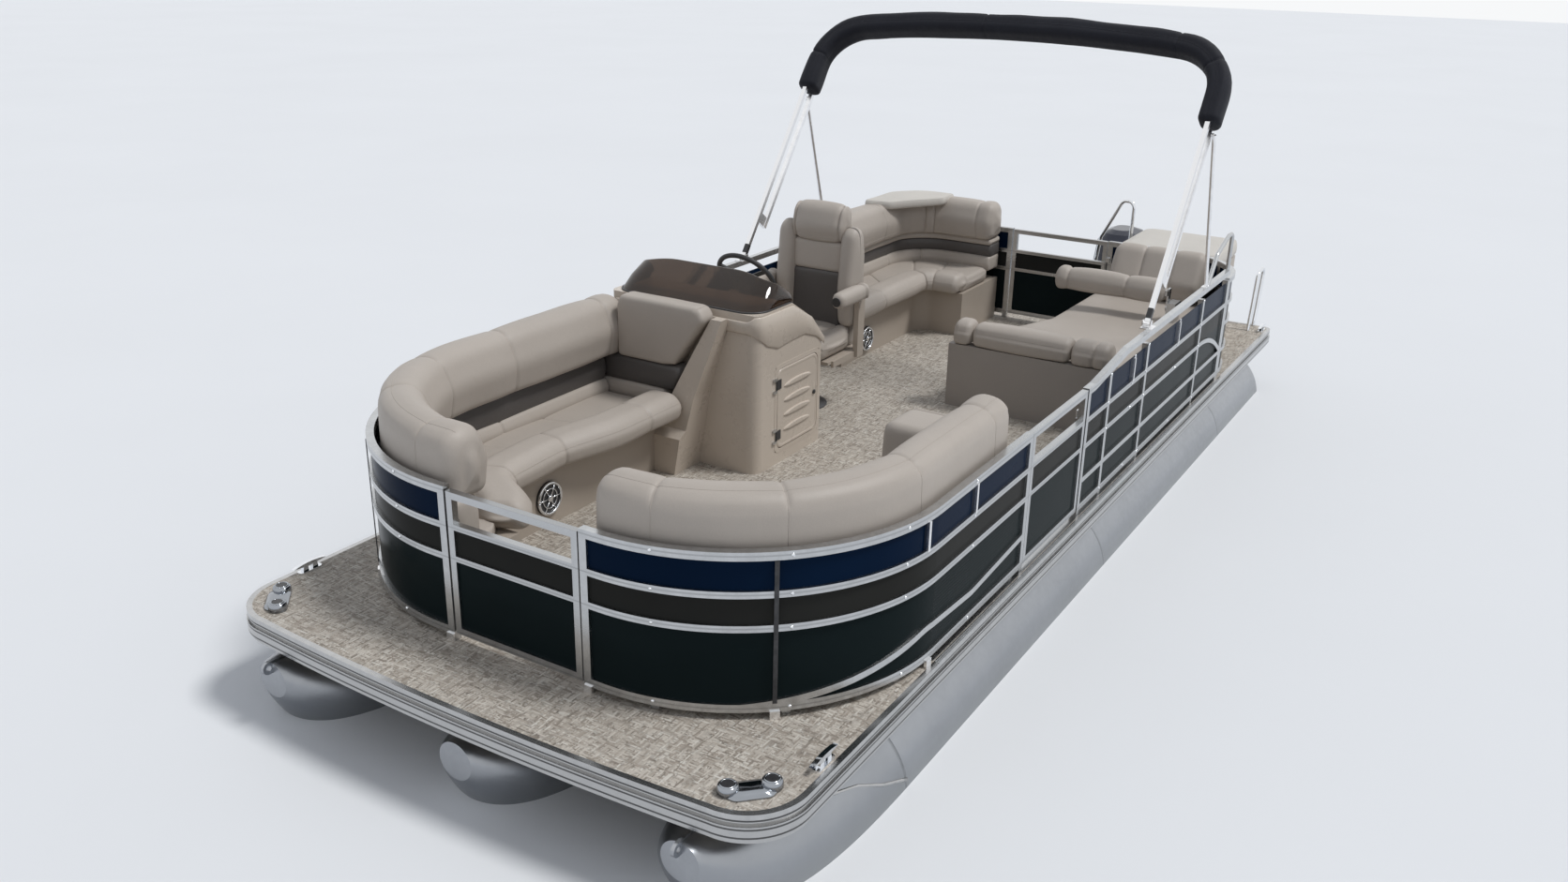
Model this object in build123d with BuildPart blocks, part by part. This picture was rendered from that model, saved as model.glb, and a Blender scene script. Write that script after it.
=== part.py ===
import os
from collections import namedtuple
from math import cos, radians, sin, sqrt

from build123d import *

os.makedirs("parts", exist_ok=True)

# Pontoon boat. +X is the bow, +Y is port, +Z is up, z = 0 is the waterline. Millimetres.

# Hull and deck
deck_length = 6650.0
half_beam = 1295.0
bow_overhang = 3305.0
deck_top = 420.0
deck_thick = 25.0
beam_height = 70.0
riser_height = 48.0
tube_radius = 317.5
tube_aft_inset = 200.0
nose_start = 1000.0
rub_width = 27.0
rub_height = 110.0
front_crown = 40.0
bow_corner = 235.0
stern_corner = 70.0

# Railing
tube = 32.0
rail_thin = 26.0
fence_inset = 33.0
bow_deck = 350.0
stern_deck = 834.0
bow_gate_half = 308.0
bow_flat = 71.0
stern_radius = 500.0
fence_height = 640.0
aft_rise = 55.0
foot_gap = 28.0
panel_thick = 8.0
gate_gap = 8.0
hinge_out = 41.0
hinge_r = 6.0

# Seats
seat_clear = 20.0
seat_height = 390.0
base_height = 290.0
back_height = 810.0

# Clearances
seated = 0.3
running = 0.4
play = 6.0

# Derived lines
bow = bow_overhang
stern = bow_overhang - deck_length
side = half_beam - fence_inset
bow_radius = side - bow_gate_half - gate_gap - bow_flat
bow_face = bow - bow_deck
stern_face = stern + stern_deck
rail_top = deck_top + fence_height
beam_top = deck_top - deck_thick
beam_low = beam_top - beam_height
tube_top = beam_low - riser_height
tube_z = tube_top - tube_radius
tube_offset = half_beam - tube_radius
rub_low = deck_top - rub_height
tube_aft = stern + tube_aft_inset
nose_from = bow - nose_start
seat_z = deck_top + base_height
cushion_z = deck_top + seat_height
back_z = deck_top + back_height
inside = tube + seat_clear


def block(x, y, z, mode=Mode.ADD):
    # box between three pairs of limits
    with Locations(((x[0] + x[1]) / 2, (y[0] + y[1]) / 2, (z[0] + z[1]) / 2)):
        Box(abs(x[1] - x[0]), abs(y[1] - y[0]), abs(z[1] - z[0]), mode=mode)


def rounded(x, y, z, r):
    # box with rounded upright edges
    with BuildSketch(Plane.XY.offset(z[0])) as sk:
        with Locations(((x[0] + x[1]) / 2, (y[0] + y[1]) / 2)):
            RectangleRounded(abs(x[1] - x[0]), abs(y[1] - y[0]), r)
    extrude(sk.sketch, amount=z[1] - z[0])


def roll_y(x, y, z, r):
    # cushion that runs across the boat, rounded in side view
    with BuildSketch(Plane.XZ.offset(-y[1])) as sk:
        with Locations(((x[0] + x[1]) / 2, (z[0] + z[1]) / 2)):
            RectangleRounded(abs(x[1] - x[0]), abs(z[1] - z[0]), r)
    extrude(sk.sketch, amount=y[1] - y[0])


def roll_x(x, y, z, r):
    # cushion that runs fore and aft, rounded in end view
    with BuildSketch(Plane.YZ.offset(x[0])) as sk:
        with Locations(((y[0] + y[1]) / 2, (z[0] + z[1]) / 2)):
            RectangleRounded(abs(y[1] - y[0]), abs(z[1] - z[0]), r)
    extrude(sk.sketch, amount=x[1] - x[0])


def bend(end, hand, y_start, x_end, z, out, inn_face, inn_side=None, r_in=None):
    # band round one corner of the deck, out and inn are insets from the railing's outer face
    # end is 1 at the bow and -1 at the stern, hand is 1 to port and -1 to starboard
    face = bow_face if end > 0 else stern_face
    big = bow_radius if end > 0 else stern_radius
    inn_side = inn_face if inn_side is None else inn_side
    r_in = big - inn_face if r_in is None else r_in
    r_in = min(r_in, side - inn_side - y_start - 5.0)
    k = sqrt(0.5)
    cx, cy = face - end * big, side - big
    r_out = big - out
    ix, iy = face - end * (inn_face + r_in), side - inn_side - r_in
    points = [
        ((face - end * out, y_start), (face - end * out, cy), None),
        ((face - end * out, cy), (cx, side - out), (cx + end * r_out * k, cy + r_out * k)),
        ((cx, side - out), (x_end, side - out), None),
        ((x_end, side - out), (x_end, side - inn_side), None),
        ((x_end, side - inn_side), (ix, side - inn_side), None),
        ((ix, side - inn_side), (face - end * inn_face, iy), (ix + end * r_in * k, iy + r_in * k)),
        ((face - end * inn_face, iy), (face - end * inn_face, y_start), None),
        ((face - end * inn_face, y_start), (face - end * out, y_start), None),
    ]
    with BuildSketch(Plane.XY.offset(z[0])) as sk:
        with BuildLine():
            for a, b, m in points:
                a, b = (a[0], hand * a[1]), (b[0], hand * b[1])
                if m is None:
                    Line(a, b)
                else:
                    ThreePointArc(a, (m[0], hand * m[1]), b)
        make_face()
    extrude(sk.sketch, amount=z[1] - z[0])


def section(plane, points, radius):
    # closed outline with rounded corners
    with BuildSketch(plane) as sk:
        with BuildLine():
            Polyline(*points, close=True)
        make_face()
        fillet(sk.vertices(), radius)
    return sk.sketch


def swept_back(end, hand, y_start, x_end, points, radius):
    # backrest swept round one corner of the deck, points are (inset, height)
    face = bow_face if end > 0 else stern_face
    big = bow_radius if end > 0 else stern_radius
    k = sqrt(0.5)
    cx, cy = face - end * big, side - big
    with BuildLine() as path:
        Line((face, hand * y_start, 0), (face, hand * cy, 0))
        middle = (cx + end * big * k, hand * (cy + big * k), 0)
        ThreePointArc((face, hand * cy, 0), middle, (cx, hand * side, 0))
        Line((cx, hand * side, 0), (x_end, hand * side, 0))
    across = Plane(origin=(face, hand * y_start, 0), x_dir=(-end, 0, 0), z_dir=(0, end, 0))
    sweep(section(across, points, radius), path=path.line)


def deck_slab(inset, z, mode=Mode.ADD):
    # slab with the deck's outline, drawn inward of the rub rail's outer edge
    hb, r = half_beam - inset, bow_corner - inset
    fx, sx, rs = bow - front_crown - inset, stern + inset, stern_corner - inset
    k = sqrt(0.5)
    with BuildSketch(Plane.XY.offset(z[0])) as sk:
        with BuildLine():
            Line((sx + rs, -hb), (fx - r, -hb))
            ThreePointArc((fx - r, -hb), (fx - r + r * k, -hb + r - r * k), (fx, -hb + r))
            ThreePointArc((fx, -hb + r), (bow - inset, 0), (fx, hb - r))
            ThreePointArc((fx, hb - r), (fx - r + r * k, hb - r + r * k), (fx - r, hb))
            Line((fx - r, hb), (sx + rs, hb))
            ThreePointArc((sx + rs, hb), (sx + rs - rs * k, hb - rs + rs * k), (sx, hb - rs))
            Line((sx, hb - rs), (sx, -hb + rs))
            ThreePointArc((sx, -hb + rs), (sx + rs - rs * k, -hb + rs - rs * k), (sx + rs, -hb))
        make_face()
    extrude(sk.sketch, amount=z[1] - z[0], mode=mode)


def save(part, name):
    part.part.label = name
    export_step(part.part, f"parts/{name}.step")
    box = part.part.bounding_box()
    print(name, len(part.part.solids()), [round(v) for v in (*box.min, *box.max)])


# Pontoon tubes, each a round tube with an upswept nose cone
NoseCut = namedtuple("NoseCut", "ahead radius")
nose_cuts = [
    NoseCut(0.0, tube_radius),
    NoseCut(0.45 * nose_start, tube_radius * 0.93),
    NoseCut(0.80 * nose_start, tube_radius * 0.66),
    NoseCut(0.99 * nose_start, tube_radius * 0.24),
]
eye_x, eye_z, eye_r = bow + 4.0, tube_top + 4.0, 12.0
with BuildPart() as tubes:
    for y in (-tube_offset, 0.0, tube_offset):
        with BuildSketch(Plane.YZ.offset(tube_aft)):
            with Locations((y, tube_z)):
                Circle(tube_radius)
        extrude(amount=nose_from - tube_aft)
        for cut in nose_cuts:
            with BuildSketch(Plane.YZ.offset(nose_from + cut.ahead)):
                with Locations((y, tube_top - cut.radius)):
                    Circle(cut.radius)
        loft()
        if y:
            with BuildSketch(Plane.XZ.offset(-(y + 7.0))):
                with Locations((eye_x - 45.0, eye_z - 22.0)):
                    Rectangle(90.0, 52.0)
                with Locations((eye_x, eye_z - 22.0)):
                    Circle(26.0)
                with Locations((eye_x, eye_z - 22.0)):
                    Circle(eye_r, mode=Mode.SUBTRACT)
            extrude(amount=14.0)
save(tubes, "pontoon_tubes")

# Risers that carry the cross members on the tubes
with BuildPart() as risers:
    for y in (-tube_offset, 0.0, tube_offset):
        for dy in (-95.0, 95.0):
            with BuildSketch(Plane.YZ.offset(tube_aft + 40.0)):
                with Locations((y + dy, beam_low - 60.0)):
                    Rectangle(12.0, 120.0)
                with Locations((y + dy, beam_low - 4.0)):
                    Rectangle(60.0, 8.0)
                with Locations((y, tube_z)):
                    Circle(tube_radius, mode=Mode.SUBTRACT)
            extrude(amount=nose_from - 40.0 - tube_aft)
save(risers, "tube_risers")

# Cross members under the deck
beam_count = 11
beam_width = 60.0
beam_wall = 8.0
beam_first, beam_last = stern + 90.0, bow - 330.0
with BuildPart() as beams:
    for i in range(beam_count):
        x = beam_first + (beam_last - beam_first) * i / (beam_count - 1)
        reach = half_beam - rub_width - 30.0
        block((x - beam_width / 2, x + beam_width / 2), (-reach, reach), (beam_top - beam_wall, beam_top))
        block((x - beam_wall / 2, x + beam_wall / 2), (-reach, reach), (beam_low, beam_top))
        block((x - beam_width / 2, x + beam_width / 2), (-reach, reach), (beam_low, beam_low + beam_wall))
save(beams, "deck_cross_members")

# Motor pod behind the centre tube
pod_half = 230.0
transom_x = stern - 315.0
transom_top = deck_top - 118.0
with BuildPart() as pod:
    with BuildSketch(Plane.XZ.offset(-pod_half)):
        with BuildLine():
            Polyline(
                (tube_aft - seated, beam_low - seated),
                (tube_aft - seated, tube_z - 120.0),
                (tube_aft - 60.0, tube_z - 220.0),
                (transom_x, tube_z - 60.0),
                (transom_x, transom_top),
                (transom_x + 50.0, transom_top),
                (transom_x + 70.0, rub_low - seated),
                (stern + rub_width + 4.0, rub_low - seated),
                (stern + rub_width + 4.0, beam_low - seated),
                close=True,
            )
        make_face()
    extrude(amount=2 * pod_half)
save(pod, "motor_pod")

# Deck panel and rub rail
with BuildPart() as deck:
    deck_slab(rub_width, (beam_top, deck_top))
save(deck, "deck_panel")

RubLayer = namedtuple("RubLayer", "low high inset")
rub_layers = [
    RubLayer(rub_low, rub_low + 18.0, 9.0),
    RubLayer(rub_low + 18.0, rub_low + 66.0, 0.0),
    RubLayer(rub_low + 66.0, rub_low + 80.0, 12.0),
    RubLayer(rub_low + 80.0, deck_top, 4.0),
]
with BuildPart() as rub:
    for layer in rub_layers:
        deck_slab(layer.inset, (layer.low, layer.high))
    deck_slab(rub_width, (rub_low, deck_top), Mode.SUBTRACT)
save(rub, "rub_rail")

# Bow corner castings and mooring cleats
casting_x, casting_y = bow - 190.0, half_beam - 170.0
casting_base, casting_body, lamp_r = 8.0, 24.0, 25.0
with BuildPart() as castings:
    for hand in (-1, 1):
        foot = Plane(origin=(casting_x, hand * casting_y, deck_top), x_dir=(1, -hand, 0), z_dir=(0, 0, 1))
        with BuildSketch(foot):
            RectangleRounded(92.0, 264.0, 44.0)
        extrude(amount=casting_base)
        with BuildSketch(foot.offset(casting_base)):
            RectangleRounded(74.0, 230.0, 35.0)
        extrude(amount=casting_body, taper=16)
        with BuildSketch(foot.offset(casting_base + casting_body)):
            with Locations((0, -52.0), (0, 52.0)):
                Circle(lamp_r)
        extrude(amount=5.0)
save(castings, "bow_corner_castings")

Cleat = namedtuple("Cleat", "x hand")
cleat_fore, cleat_aft = bow - 440.0, stern + 130.0
cleat_rows = [Cleat(cleat_fore, 1), Cleat(cleat_fore, -1), Cleat(cleat_aft, 1), Cleat(cleat_aft, -1)]
cleat_width, horn_reach = 18.0, 82.0
with BuildPart() as cleats:
    for row in cleat_rows:
        y = row.hand * (half_beam - 48.0)
        with BuildSketch(Plane.XY.offset(deck_top)):
            with Locations((row.x, y)):
                RectangleRounded(112.0, 34.0, 14.0)
        extrude(amount=8.0)
        with BuildSketch(Plane.XZ.offset(-y - cleat_width / 2)):
            with BuildLine():
                Polyline(
                    (row.x - horn_reach, deck_top + 33.0), (row.x - 34.0, deck_top + 28.0),
                    (row.x - 38.0, deck_top + 6.0), (row.x - 10.0, deck_top + 6.0),
                    (row.x - 12.0, deck_top + 26.0), (row.x + 12.0, deck_top + 26.0),
                    (row.x + 10.0, deck_top + 6.0), (row.x + 38.0, deck_top + 6.0),
                    (row.x + 34.0, deck_top + 28.0), (row.x + horn_reach, deck_top + 33.0),
                )
                horns = [(row.x + f * horn_reach, deck_top + 33.0) for f in (1, -1)]
                ThreePointArc(horns[0], (row.x, deck_top + 43.0), horns[1])
            make_face()
        extrude(amount=cleat_width)
save(cleats, "mooring_cleats")

# Railing heights above the deck, as tops of the rails
Rail = namedtuple("Rail", "top deep")
rails = [
    Rail(rail_top, tube),
    Rail(rail_top - 145.0, rail_thin),
    Rail(rail_top - 273.0, rail_thin),
    Rail(deck_top + foot_gap + tube, tube),
]
low_rail = Rail(deck_top + 195.0, rail_thin)
port_gate_fore, port_gate_aft = bow_face - 1751.0, bow_face - 2400.0
stern_gate_port, stern_gate_starboard = 320.0, -350.0


def post(x, y, top):
    # upright square tube that stands on the deck
    block((x - tube / 2, x + tube / 2), (y - tube / 2, y + tube / 2), (deck_top, top))


def corner_post(end, hand, angle, top):
    # upright behind the curved panels, angle is measured from the fore and aft line
    face = bow_face if end > 0 else stern_face
    big = bow_radius if end > 0 else stern_radius
    cx, cy = face - end * big, side - big
    back = tube - 3.0
    r = big - (panel_in + seated + back) / 2
    x, y = cx + end * r * cos(radians(angle)), cy + r * sin(radians(angle))
    with Locations(Location((x, hand * y, (deck_top + top) / 2), (0, 0, end * hand * angle))):
        Box(back - panel_in - seated, tube, top - deck_top)


panel_out, panel_in = 12.0, 12.0 + panel_thick
Fence = namedtuple("Fence", "end hand y_start x_end")
corner_aft = stern_face + 580.0
fence_groups = {
    "bow": [
        Fence(1, 1, bow_gate_half + gate_gap, port_gate_fore + gate_gap),
        Fence(1, -1, bow_gate_half + gate_gap, port_gate_fore + gate_gap),
    ],
    "stern": [
        Fence(-1, 1, stern_gate_port + gate_gap, corner_aft),
        Fence(-1, -1, -stern_gate_starboard + gate_gap, corner_aft),
    ],
}
bands = [(low.top + seated, high.top - high.deep - seated) for high, low in zip(rails, rails[1:])]
# Lowest rail of the bow, which dips to the bottom rail in front, as points of its centre line in side view
low_mid = low_rail.top - low_rail.deep / 2
accent_line = [
    (port_gate_fore, low_mid), (bow_face - 1205.0, low_mid - 40.0), (bow_face - 800.0, low_mid - 14.0),
    (bow_face - 450.0, low_mid - 84.0), (bow_face - 120.0, rails[3].top - 18.0),
]
accent_bend = 260.0
trim_in = panel_out - seated
for group, rows in fence_groups.items():
    with BuildPart() as fence:
        if group == "bow":
            for row in rows:
                bend(1, row.hand, row.y_start, row.x_end, (rails[3].top - tube, rails[2].top), 0.0, trim_in)
            with BuildSketch(Plane.XZ.offset(-side)):
                with BuildLine():
                    half_deep = low_rail.deep / 2
                    upper = FilletPolyline(*[(x, z + half_deep) for x, z in accent_line], radius=accent_bend)
                    lower = FilletPolyline(*[(x, z - half_deep) for x, z in accent_line], radius=accent_bend)
                    Line(upper @ 0, lower @ 0)
                    Line(upper @ 1, lower @ 1)
                make_face()
            extrude(amount=2 * side, mode=Mode.INTERSECT)
        for row in rows:
            for rail in rails:
                bend(row.end, row.hand, row.y_start, row.x_end, (rail.top - rail.deep, rail.top), 0.0, tube)
            if group == "stern":
                bend(row.end, row.hand, row.y_start, row.x_end, (low_rail.top - low_rail.deep, low_rail.top),
                     0.0, trim_in)
            face = bow_face if row.end > 0 else stern_face
            post(face - row.end * tube / 2, row.hand * (row.y_start + tube / 2), rail_top)
            post(row.x_end + row.end * tube / 2, row.hand * (side - tube / 2), rail_top)
            for angle in (14.0, 45.0, 76.0):
                corner_post(row.end, row.hand, angle, rail_top - 8.0)
    save(fence, f"{group}_fences")
    with BuildPart() as panels:
        for row in rows:
            for band in bands:
                bend(row.end, row.hand, row.y_start + tube + seated, row.x_end + row.end * (tube + seated),
                     band, panel_out, panel_in)
    save(panels, f"{group}_fence_panels")

Side = namedtuple("Side", "hand fore posts")
rise_from, rise_to = port_gate_aft - 100.0, port_gate_aft - 560.0
mid_posts = [port_gate_aft - 320.0, stern_face + 2166.0, stern_face + 1136.0]
sides = [
    Side(1, port_gate_aft - gate_gap, mid_posts),
    Side(-1, port_gate_fore, [port_gate_aft, *mid_posts]),
]
side_from = corner_aft + 2.0
# Third rail of the sides, which curves down to the low rail at its aft end
drop = rails[2].top - low_rail.top
drop_length = 515.0
drop_radius = (drop_length ** 2 + drop ** 2) / (2 * drop)
with BuildPart() as fence:
    for row in sides:
        front = row.fore - 2.0
        drop_x = side_from + drop_length
        third = rails[2].top - rails[2].deep / 2
        with BuildSketch(Plane.XZ.offset(-max(row.hand * (side - trim_in), row.hand * side))):
            with BuildLine():
                ends = []
                for t in (rails[2].deep / 2, -rails[2].deep / 2):
                    flat = Line((front, third + t), (drop_x, third + t))
                    fall = CenterArc((drop_x, third - drop_radius), drop_radius + t, 90.0, 42.0)
                    ends.append((flat @ 0, fall @ 1))
                Line(ends[0][0], ends[1][0])
                Line(ends[0][1], ends[1][1])
            make_face()
        extrude(amount=trim_in)
    drop_low = low_rail.top - low_rail.deep
    block((side_from, port_gate_fore), (-side, side), (drop_low, rail_top), Mode.INTERSECT)
    for row in sides:
        y = (row.hand * (side - tube), row.hand * side)
        front = row.fore - 2.0
        for rail in (rails[1], rails[3]):
            block((side_from, front), y, (rail.top - rail.deep, rail.top))
        block((side_from, front), (row.hand * (side - panel_out + seated), row.hand * side),
              (low_rail.top - low_rail.deep, low_rail.top))
        with BuildSketch(Plane.XZ.offset(-max(y))) as profile:
            with BuildLine():
                Polyline(
                    (front, rail_top),
                    (rise_from, rail_top),
                    (rise_to, rail_top + aft_rise),
                    (side_from, rail_top + aft_rise),
                    (side_from, rail_top + aft_rise - tube),
                    (rise_to, rail_top + aft_rise - tube),
                    (rise_from, rail_top - tube),
                    (front, rail_top - tube),
                    close=True,
                )
            make_face()
        extrude(profile.sketch, amount=tube)
        for x in (front - tube / 2, *row.posts, side_from + tube / 2):
            post(x, row.hand * (side - tube / 2), rail_top - 8.0)
save(fence, "side_fences")
side_bands = [bands[0], (bands[2][0], bands[1][1])]
with BuildPart() as panels:
    for row in sides:
        y = (row.hand * (side - panel_in), row.hand * (side - panel_out))
        stops = [row.fore - 2.0 - tube / 2, *row.posts, side_from + tube / 2]
        for fore, aft in zip(stops, stops[1:]):
            for band in side_bands:
                block((aft + tube / 2 + seated, fore - tube / 2 - seated), y, band)
save(panels, "side_fence_panels")

# Helm console limits
console_face = bow_face - 1988.0
console_walk, console_wide = 112.0, 900.0
console_out = console_walk - side
console_in = console_out + console_wide
console_aft = console_face - 663.0
dash_edge = console_face - 327.0
console_top = deck_top + 817.0
door_x = (console_aft + 70.0, console_aft + 480.0)
door_z = (deck_top + 72.0, deck_top + 512.0)
door_straps = (door_z[0] + 60.0, door_z[1] - 110.0)

# Gates, drawn from the hinge corner of the leaf's outer face
Gate = namedtuple("Gate", "name x y turn flip width top")
leaf = 28.0
gate_bar = 22.0
gates = [
    Gate("bow_gate", bow_face - 2.0, -bow_gate_half, 90, 1, 2 * bow_gate_half, rail_top - 16.0),
    Gate("port_gate", port_gate_aft, side - 2.0, 0, -1, port_gate_fore - port_gate_aft, rail_top - 4.0),
    Gate("stern_gate", stern_face + 2.0, stern_gate_port, -90, 1,
         stern_gate_port - stern_gate_starboard, rail_top - 4.0),
]
barrels = [(deck_top + 120.0, deck_top + 180.0), (deck_top + 440.0, deck_top + 500.0)]
gate_low = deck_top + 36.0
for row in gates:
    f = row.flip
    place = Location((row.x, row.y, 0), (0, 0, row.turn))
    with BuildPart() as frame:
        with Locations(place):
            for u in ((0.0, leaf), (row.width - leaf, row.width)):
                block(u, (0.0, f * leaf), (gate_low, row.top))
            for top, deep in (
                (row.top, leaf), (rails[1].top, gate_bar), (rails[2].top, gate_bar), (gate_low + leaf, leaf),
            ):
                block((leaf - 1.0, row.width - leaf + 1.0), (0.0, f * leaf), (top - deep, top))
            for low, high in barrels:
                block((-4.0, 20.0), (f * (leaf - 1.0), f * hinge_out), (low, high))
                with Locations((-4.0, f * hinge_out, (low + high) / 2)):
                    Cylinder(hinge_r, high - low)
    save(frame, f"{row.name}_frame")
    with BuildPart() as skins:
        with Locations(place):
            v = (f * 10.0, f * (10.0 + panel_thick))
            u = (leaf + seated, row.width - leaf - seated)
            block(u, v, (gate_low + leaf + seated, rails[2].top - gate_bar - seated))
            block(u, v, (rails[2].top + seated, rails[1].top - gate_bar - seated))
    save(skins, f"{row.name}_panels")

# Hinge brackets on the posts
with BuildPart() as brackets:
    for row in gates:
        f = row.flip
        with Locations(Location((row.x, row.y, 0), (0, 0, row.turn))):
            for low, high in barrels:
                for a, b in ((low - 31.0, low - running), (high + running, high + 31.0)):
                    with Locations((-4.0, f * hinge_out, (a + b) / 2)):
                        Cylinder(hinge_r, b - a)
                    block((-30.0, -4.0), (f * (tube - 2.0 + seated), f * (hinge_out + hinge_r)), (a, b))
    for z in door_straps:
        for a, b in ((z - 13.0, z - running), (z + 50.0 + running, z + 63.0)):
            block((door_x[1] + 2.0, door_x[1] + 34.0), (console_in + seated, console_in + 9.5), (a, b))
save(brackets, "hinge_brackets")

# Bow lounges
Lounge = namedtuple("Lounge", "hand y_start x_end toe seat_x roll_x")
lounges = [
    Lounge(-1, 318.0, console_face + 14.0, 547.0, console_face + 140.0, console_face + 8.0),
    Lounge(1, 318.0, port_gate_fore + 8.0, 640.0, port_gate_fore + 272.0, port_gate_fore + 100.0),
]
arm_gap = 3.0
with BuildPart() as base:
    for row in lounges:
        bend(1, row.hand, row.y_start + 20.0, row.x_end, (deck_top, seat_z), inside, 400.0, row.toe, 220.0)
save(base, "bow_lounge_bases")
with BuildPart() as seat:
    for row in lounges:
        bend(1, row.hand, row.y_start, row.seat_x, (seat_z, cushion_z), inside, 455.0, row.toe + 55.0, 260.0)
save(seat, "bow_lounge_seats")
roll_low, roll_in, lean_in = cushion_z + 129.0, 262.0, 200.0
lean_points = [
    (inside + 1.0, cushion_z), (lean_in, cushion_z), (lean_in, roll_low + 30.0), (inside + 1.0, roll_low + 30.0),
]
roll_points = [
    (inside, roll_low), (roll_in - 20.0, roll_low), (roll_in, roll_low + 20.0), (roll_in, back_z - 55.0),
    (roll_in - 70.0, back_z), (inside + 60.0, back_z), (inside, back_z - 50.0),
]
with BuildPart() as back:
    for row in lounges:
        swept_back(1, row.hand, row.y_start + 2.0, max(row.roll_x, row.seat_x), lean_points, 12.0)
        swept_back(1, row.hand, row.y_start, row.roll_x, roll_points, 12.0)
save(back, "bow_lounge_backs")

# Aft ends of the bow lounges, a leaning pad to starboard and a square arm to port
pad_x = console_face + 14.0
with BuildPart() as ends:
    with BuildSketch(Plane.YZ.offset(pad_x)):
        with BuildLine():
            Polyline(
                (-side + 262.0 + arm_gap, seat_z),
                (-side + 535.0, seat_z),
                (-side + 595.0, cushion_z),
                (-side + 668.0, deck_top + 540.0),
                (-side + 790.0, deck_top + 790.0),
                (-side + 760.0, deck_top + 845.0),
                (-side + 300.0, deck_top + 845.0),
                (-side + 262.0 + arm_gap, deck_top + 800.0),
                close=True,
            )
        make_face()
    extrude(amount=122.0)
    rounded((port_gate_fore + 10.0, port_gate_fore + 268.0), (side - 580.0, side - 266.0),
            (seat_z, deck_top + 660.0), 40.0)
save(ends, "bow_lounge_end_cushions")
with BuildPart() as arm:
    with BuildSketch(Plane.XZ.offset(side)):
        with BuildLine():
            Polyline(
                (console_face + seated, deck_top),
                (console_face + 215.0, deck_top),
                (console_face + 215.0, deck_top + 194.0),
                (console_face + 170.0, deck_top + 230.0),
                (console_face + 75.0, deck_top + 792.0),
                (console_face + 20.0, deck_top + 792.0),
                (console_face + seated, deck_top + 720.0),
                close=True,
            )
        make_face()
    extrude(amount=-side)
    with BuildSketch(Plane.YZ.offset(console_face)):
        with BuildLine():
            Polyline(
                (-side + 547.0 + seated, deck_top),
                (-side + 671.0, deck_top),
                (-side + 740.0, deck_top + 400.0),
                (-side + 857.0, deck_top + 794.0),
                (-side + 796.0, deck_top + 794.0),
                (-side + 674.0, deck_top + 540.0),
                (-side + 606.0, cushion_z + 2.0),
                (-side + 606.0, seat_z - 2.0),
                (-side + 547.0 + seated, seat_z - 2.0),
                close=True,
            )
        make_face()
    extrude(amount=230.0, mode=Mode.INTERSECT)
save(arm, "starboard_lounge_side_panel")

# Helm console
wheel_r, wheel_wire, wheel_rake = 165.0, 13.0, 35.0
wheel_at = (console_aft + 66.0, (console_in + console_out) / 2, deck_top + 825.0)
wheel_axis = (-cos(radians(wheel_rake)), 0, sin(radians(wheel_rake)))
wheel_plane = Plane(origin=wheel_at, x_dir=(0, 1, 0), z_dir=wheel_axis)
column_length = 168.0
with BuildPart() as console:
    rounded((console_aft, console_face), (console_out, console_in), (deck_top, console_top), 60.0)
    with BuildSketch(Plane.XZ.offset(-console_in - 10.0)):
        with BuildLine():
            Polyline(
                (console_aft - 1.0, deck_top),
                (console_face + 1.0, deck_top),
                (console_face + 1.0, deck_top + 640.0),
                (console_face - 12.0, console_top),
                (dash_edge, console_top),
                (console_aft + 150.0, deck_top + 706.0),
                (console_aft + 14.0, deck_top + 564.0),
                (console_aft - 1.0, deck_top + 540.0),
                close=True,
            )
        make_face()
    extrude(amount=console_in - console_out + 20.0, mode=Mode.INTERSECT)
    with Locations(((door_x[0] + door_x[1]) / 2, console_in - 12.5, (door_z[0] + door_z[1]) / 2)):
        Box(door_x[1] - door_x[0] + 2 * play, 27.0, door_z[1] - door_z[0] + 2 * play, mode=Mode.SUBTRACT)
    with Locations(wheel_plane.location):
        with Locations((0, 0, -column_length + 39.0 - 60.0)):
            Cylinder(44.0, 120.0)
save(console, "helm_console")

# Console door in its recess
with BuildPart() as door:
    block(door_x, (console_in - 20.0, console_in), door_z)
    for i in range(4):
        z = door_z[0] + 90.0 + 62.0 * i
        block((door_x[0] + 70.0, door_x[1] - 60.0), (console_in - 1.0, console_in + 7.0), (z, z + 26.0))
    for z in door_straps:
        block((door_x[1] - 40.0, door_x[1] + 2.0), (console_in - 1.0, console_in + 8.0), (z, z + 50.0))
        with Locations((door_x[1] + 2.0, console_in + 5.0, z + 25.0)):
            Cylinder(4.5, 50.0)
save(door, "console_door")
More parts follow.
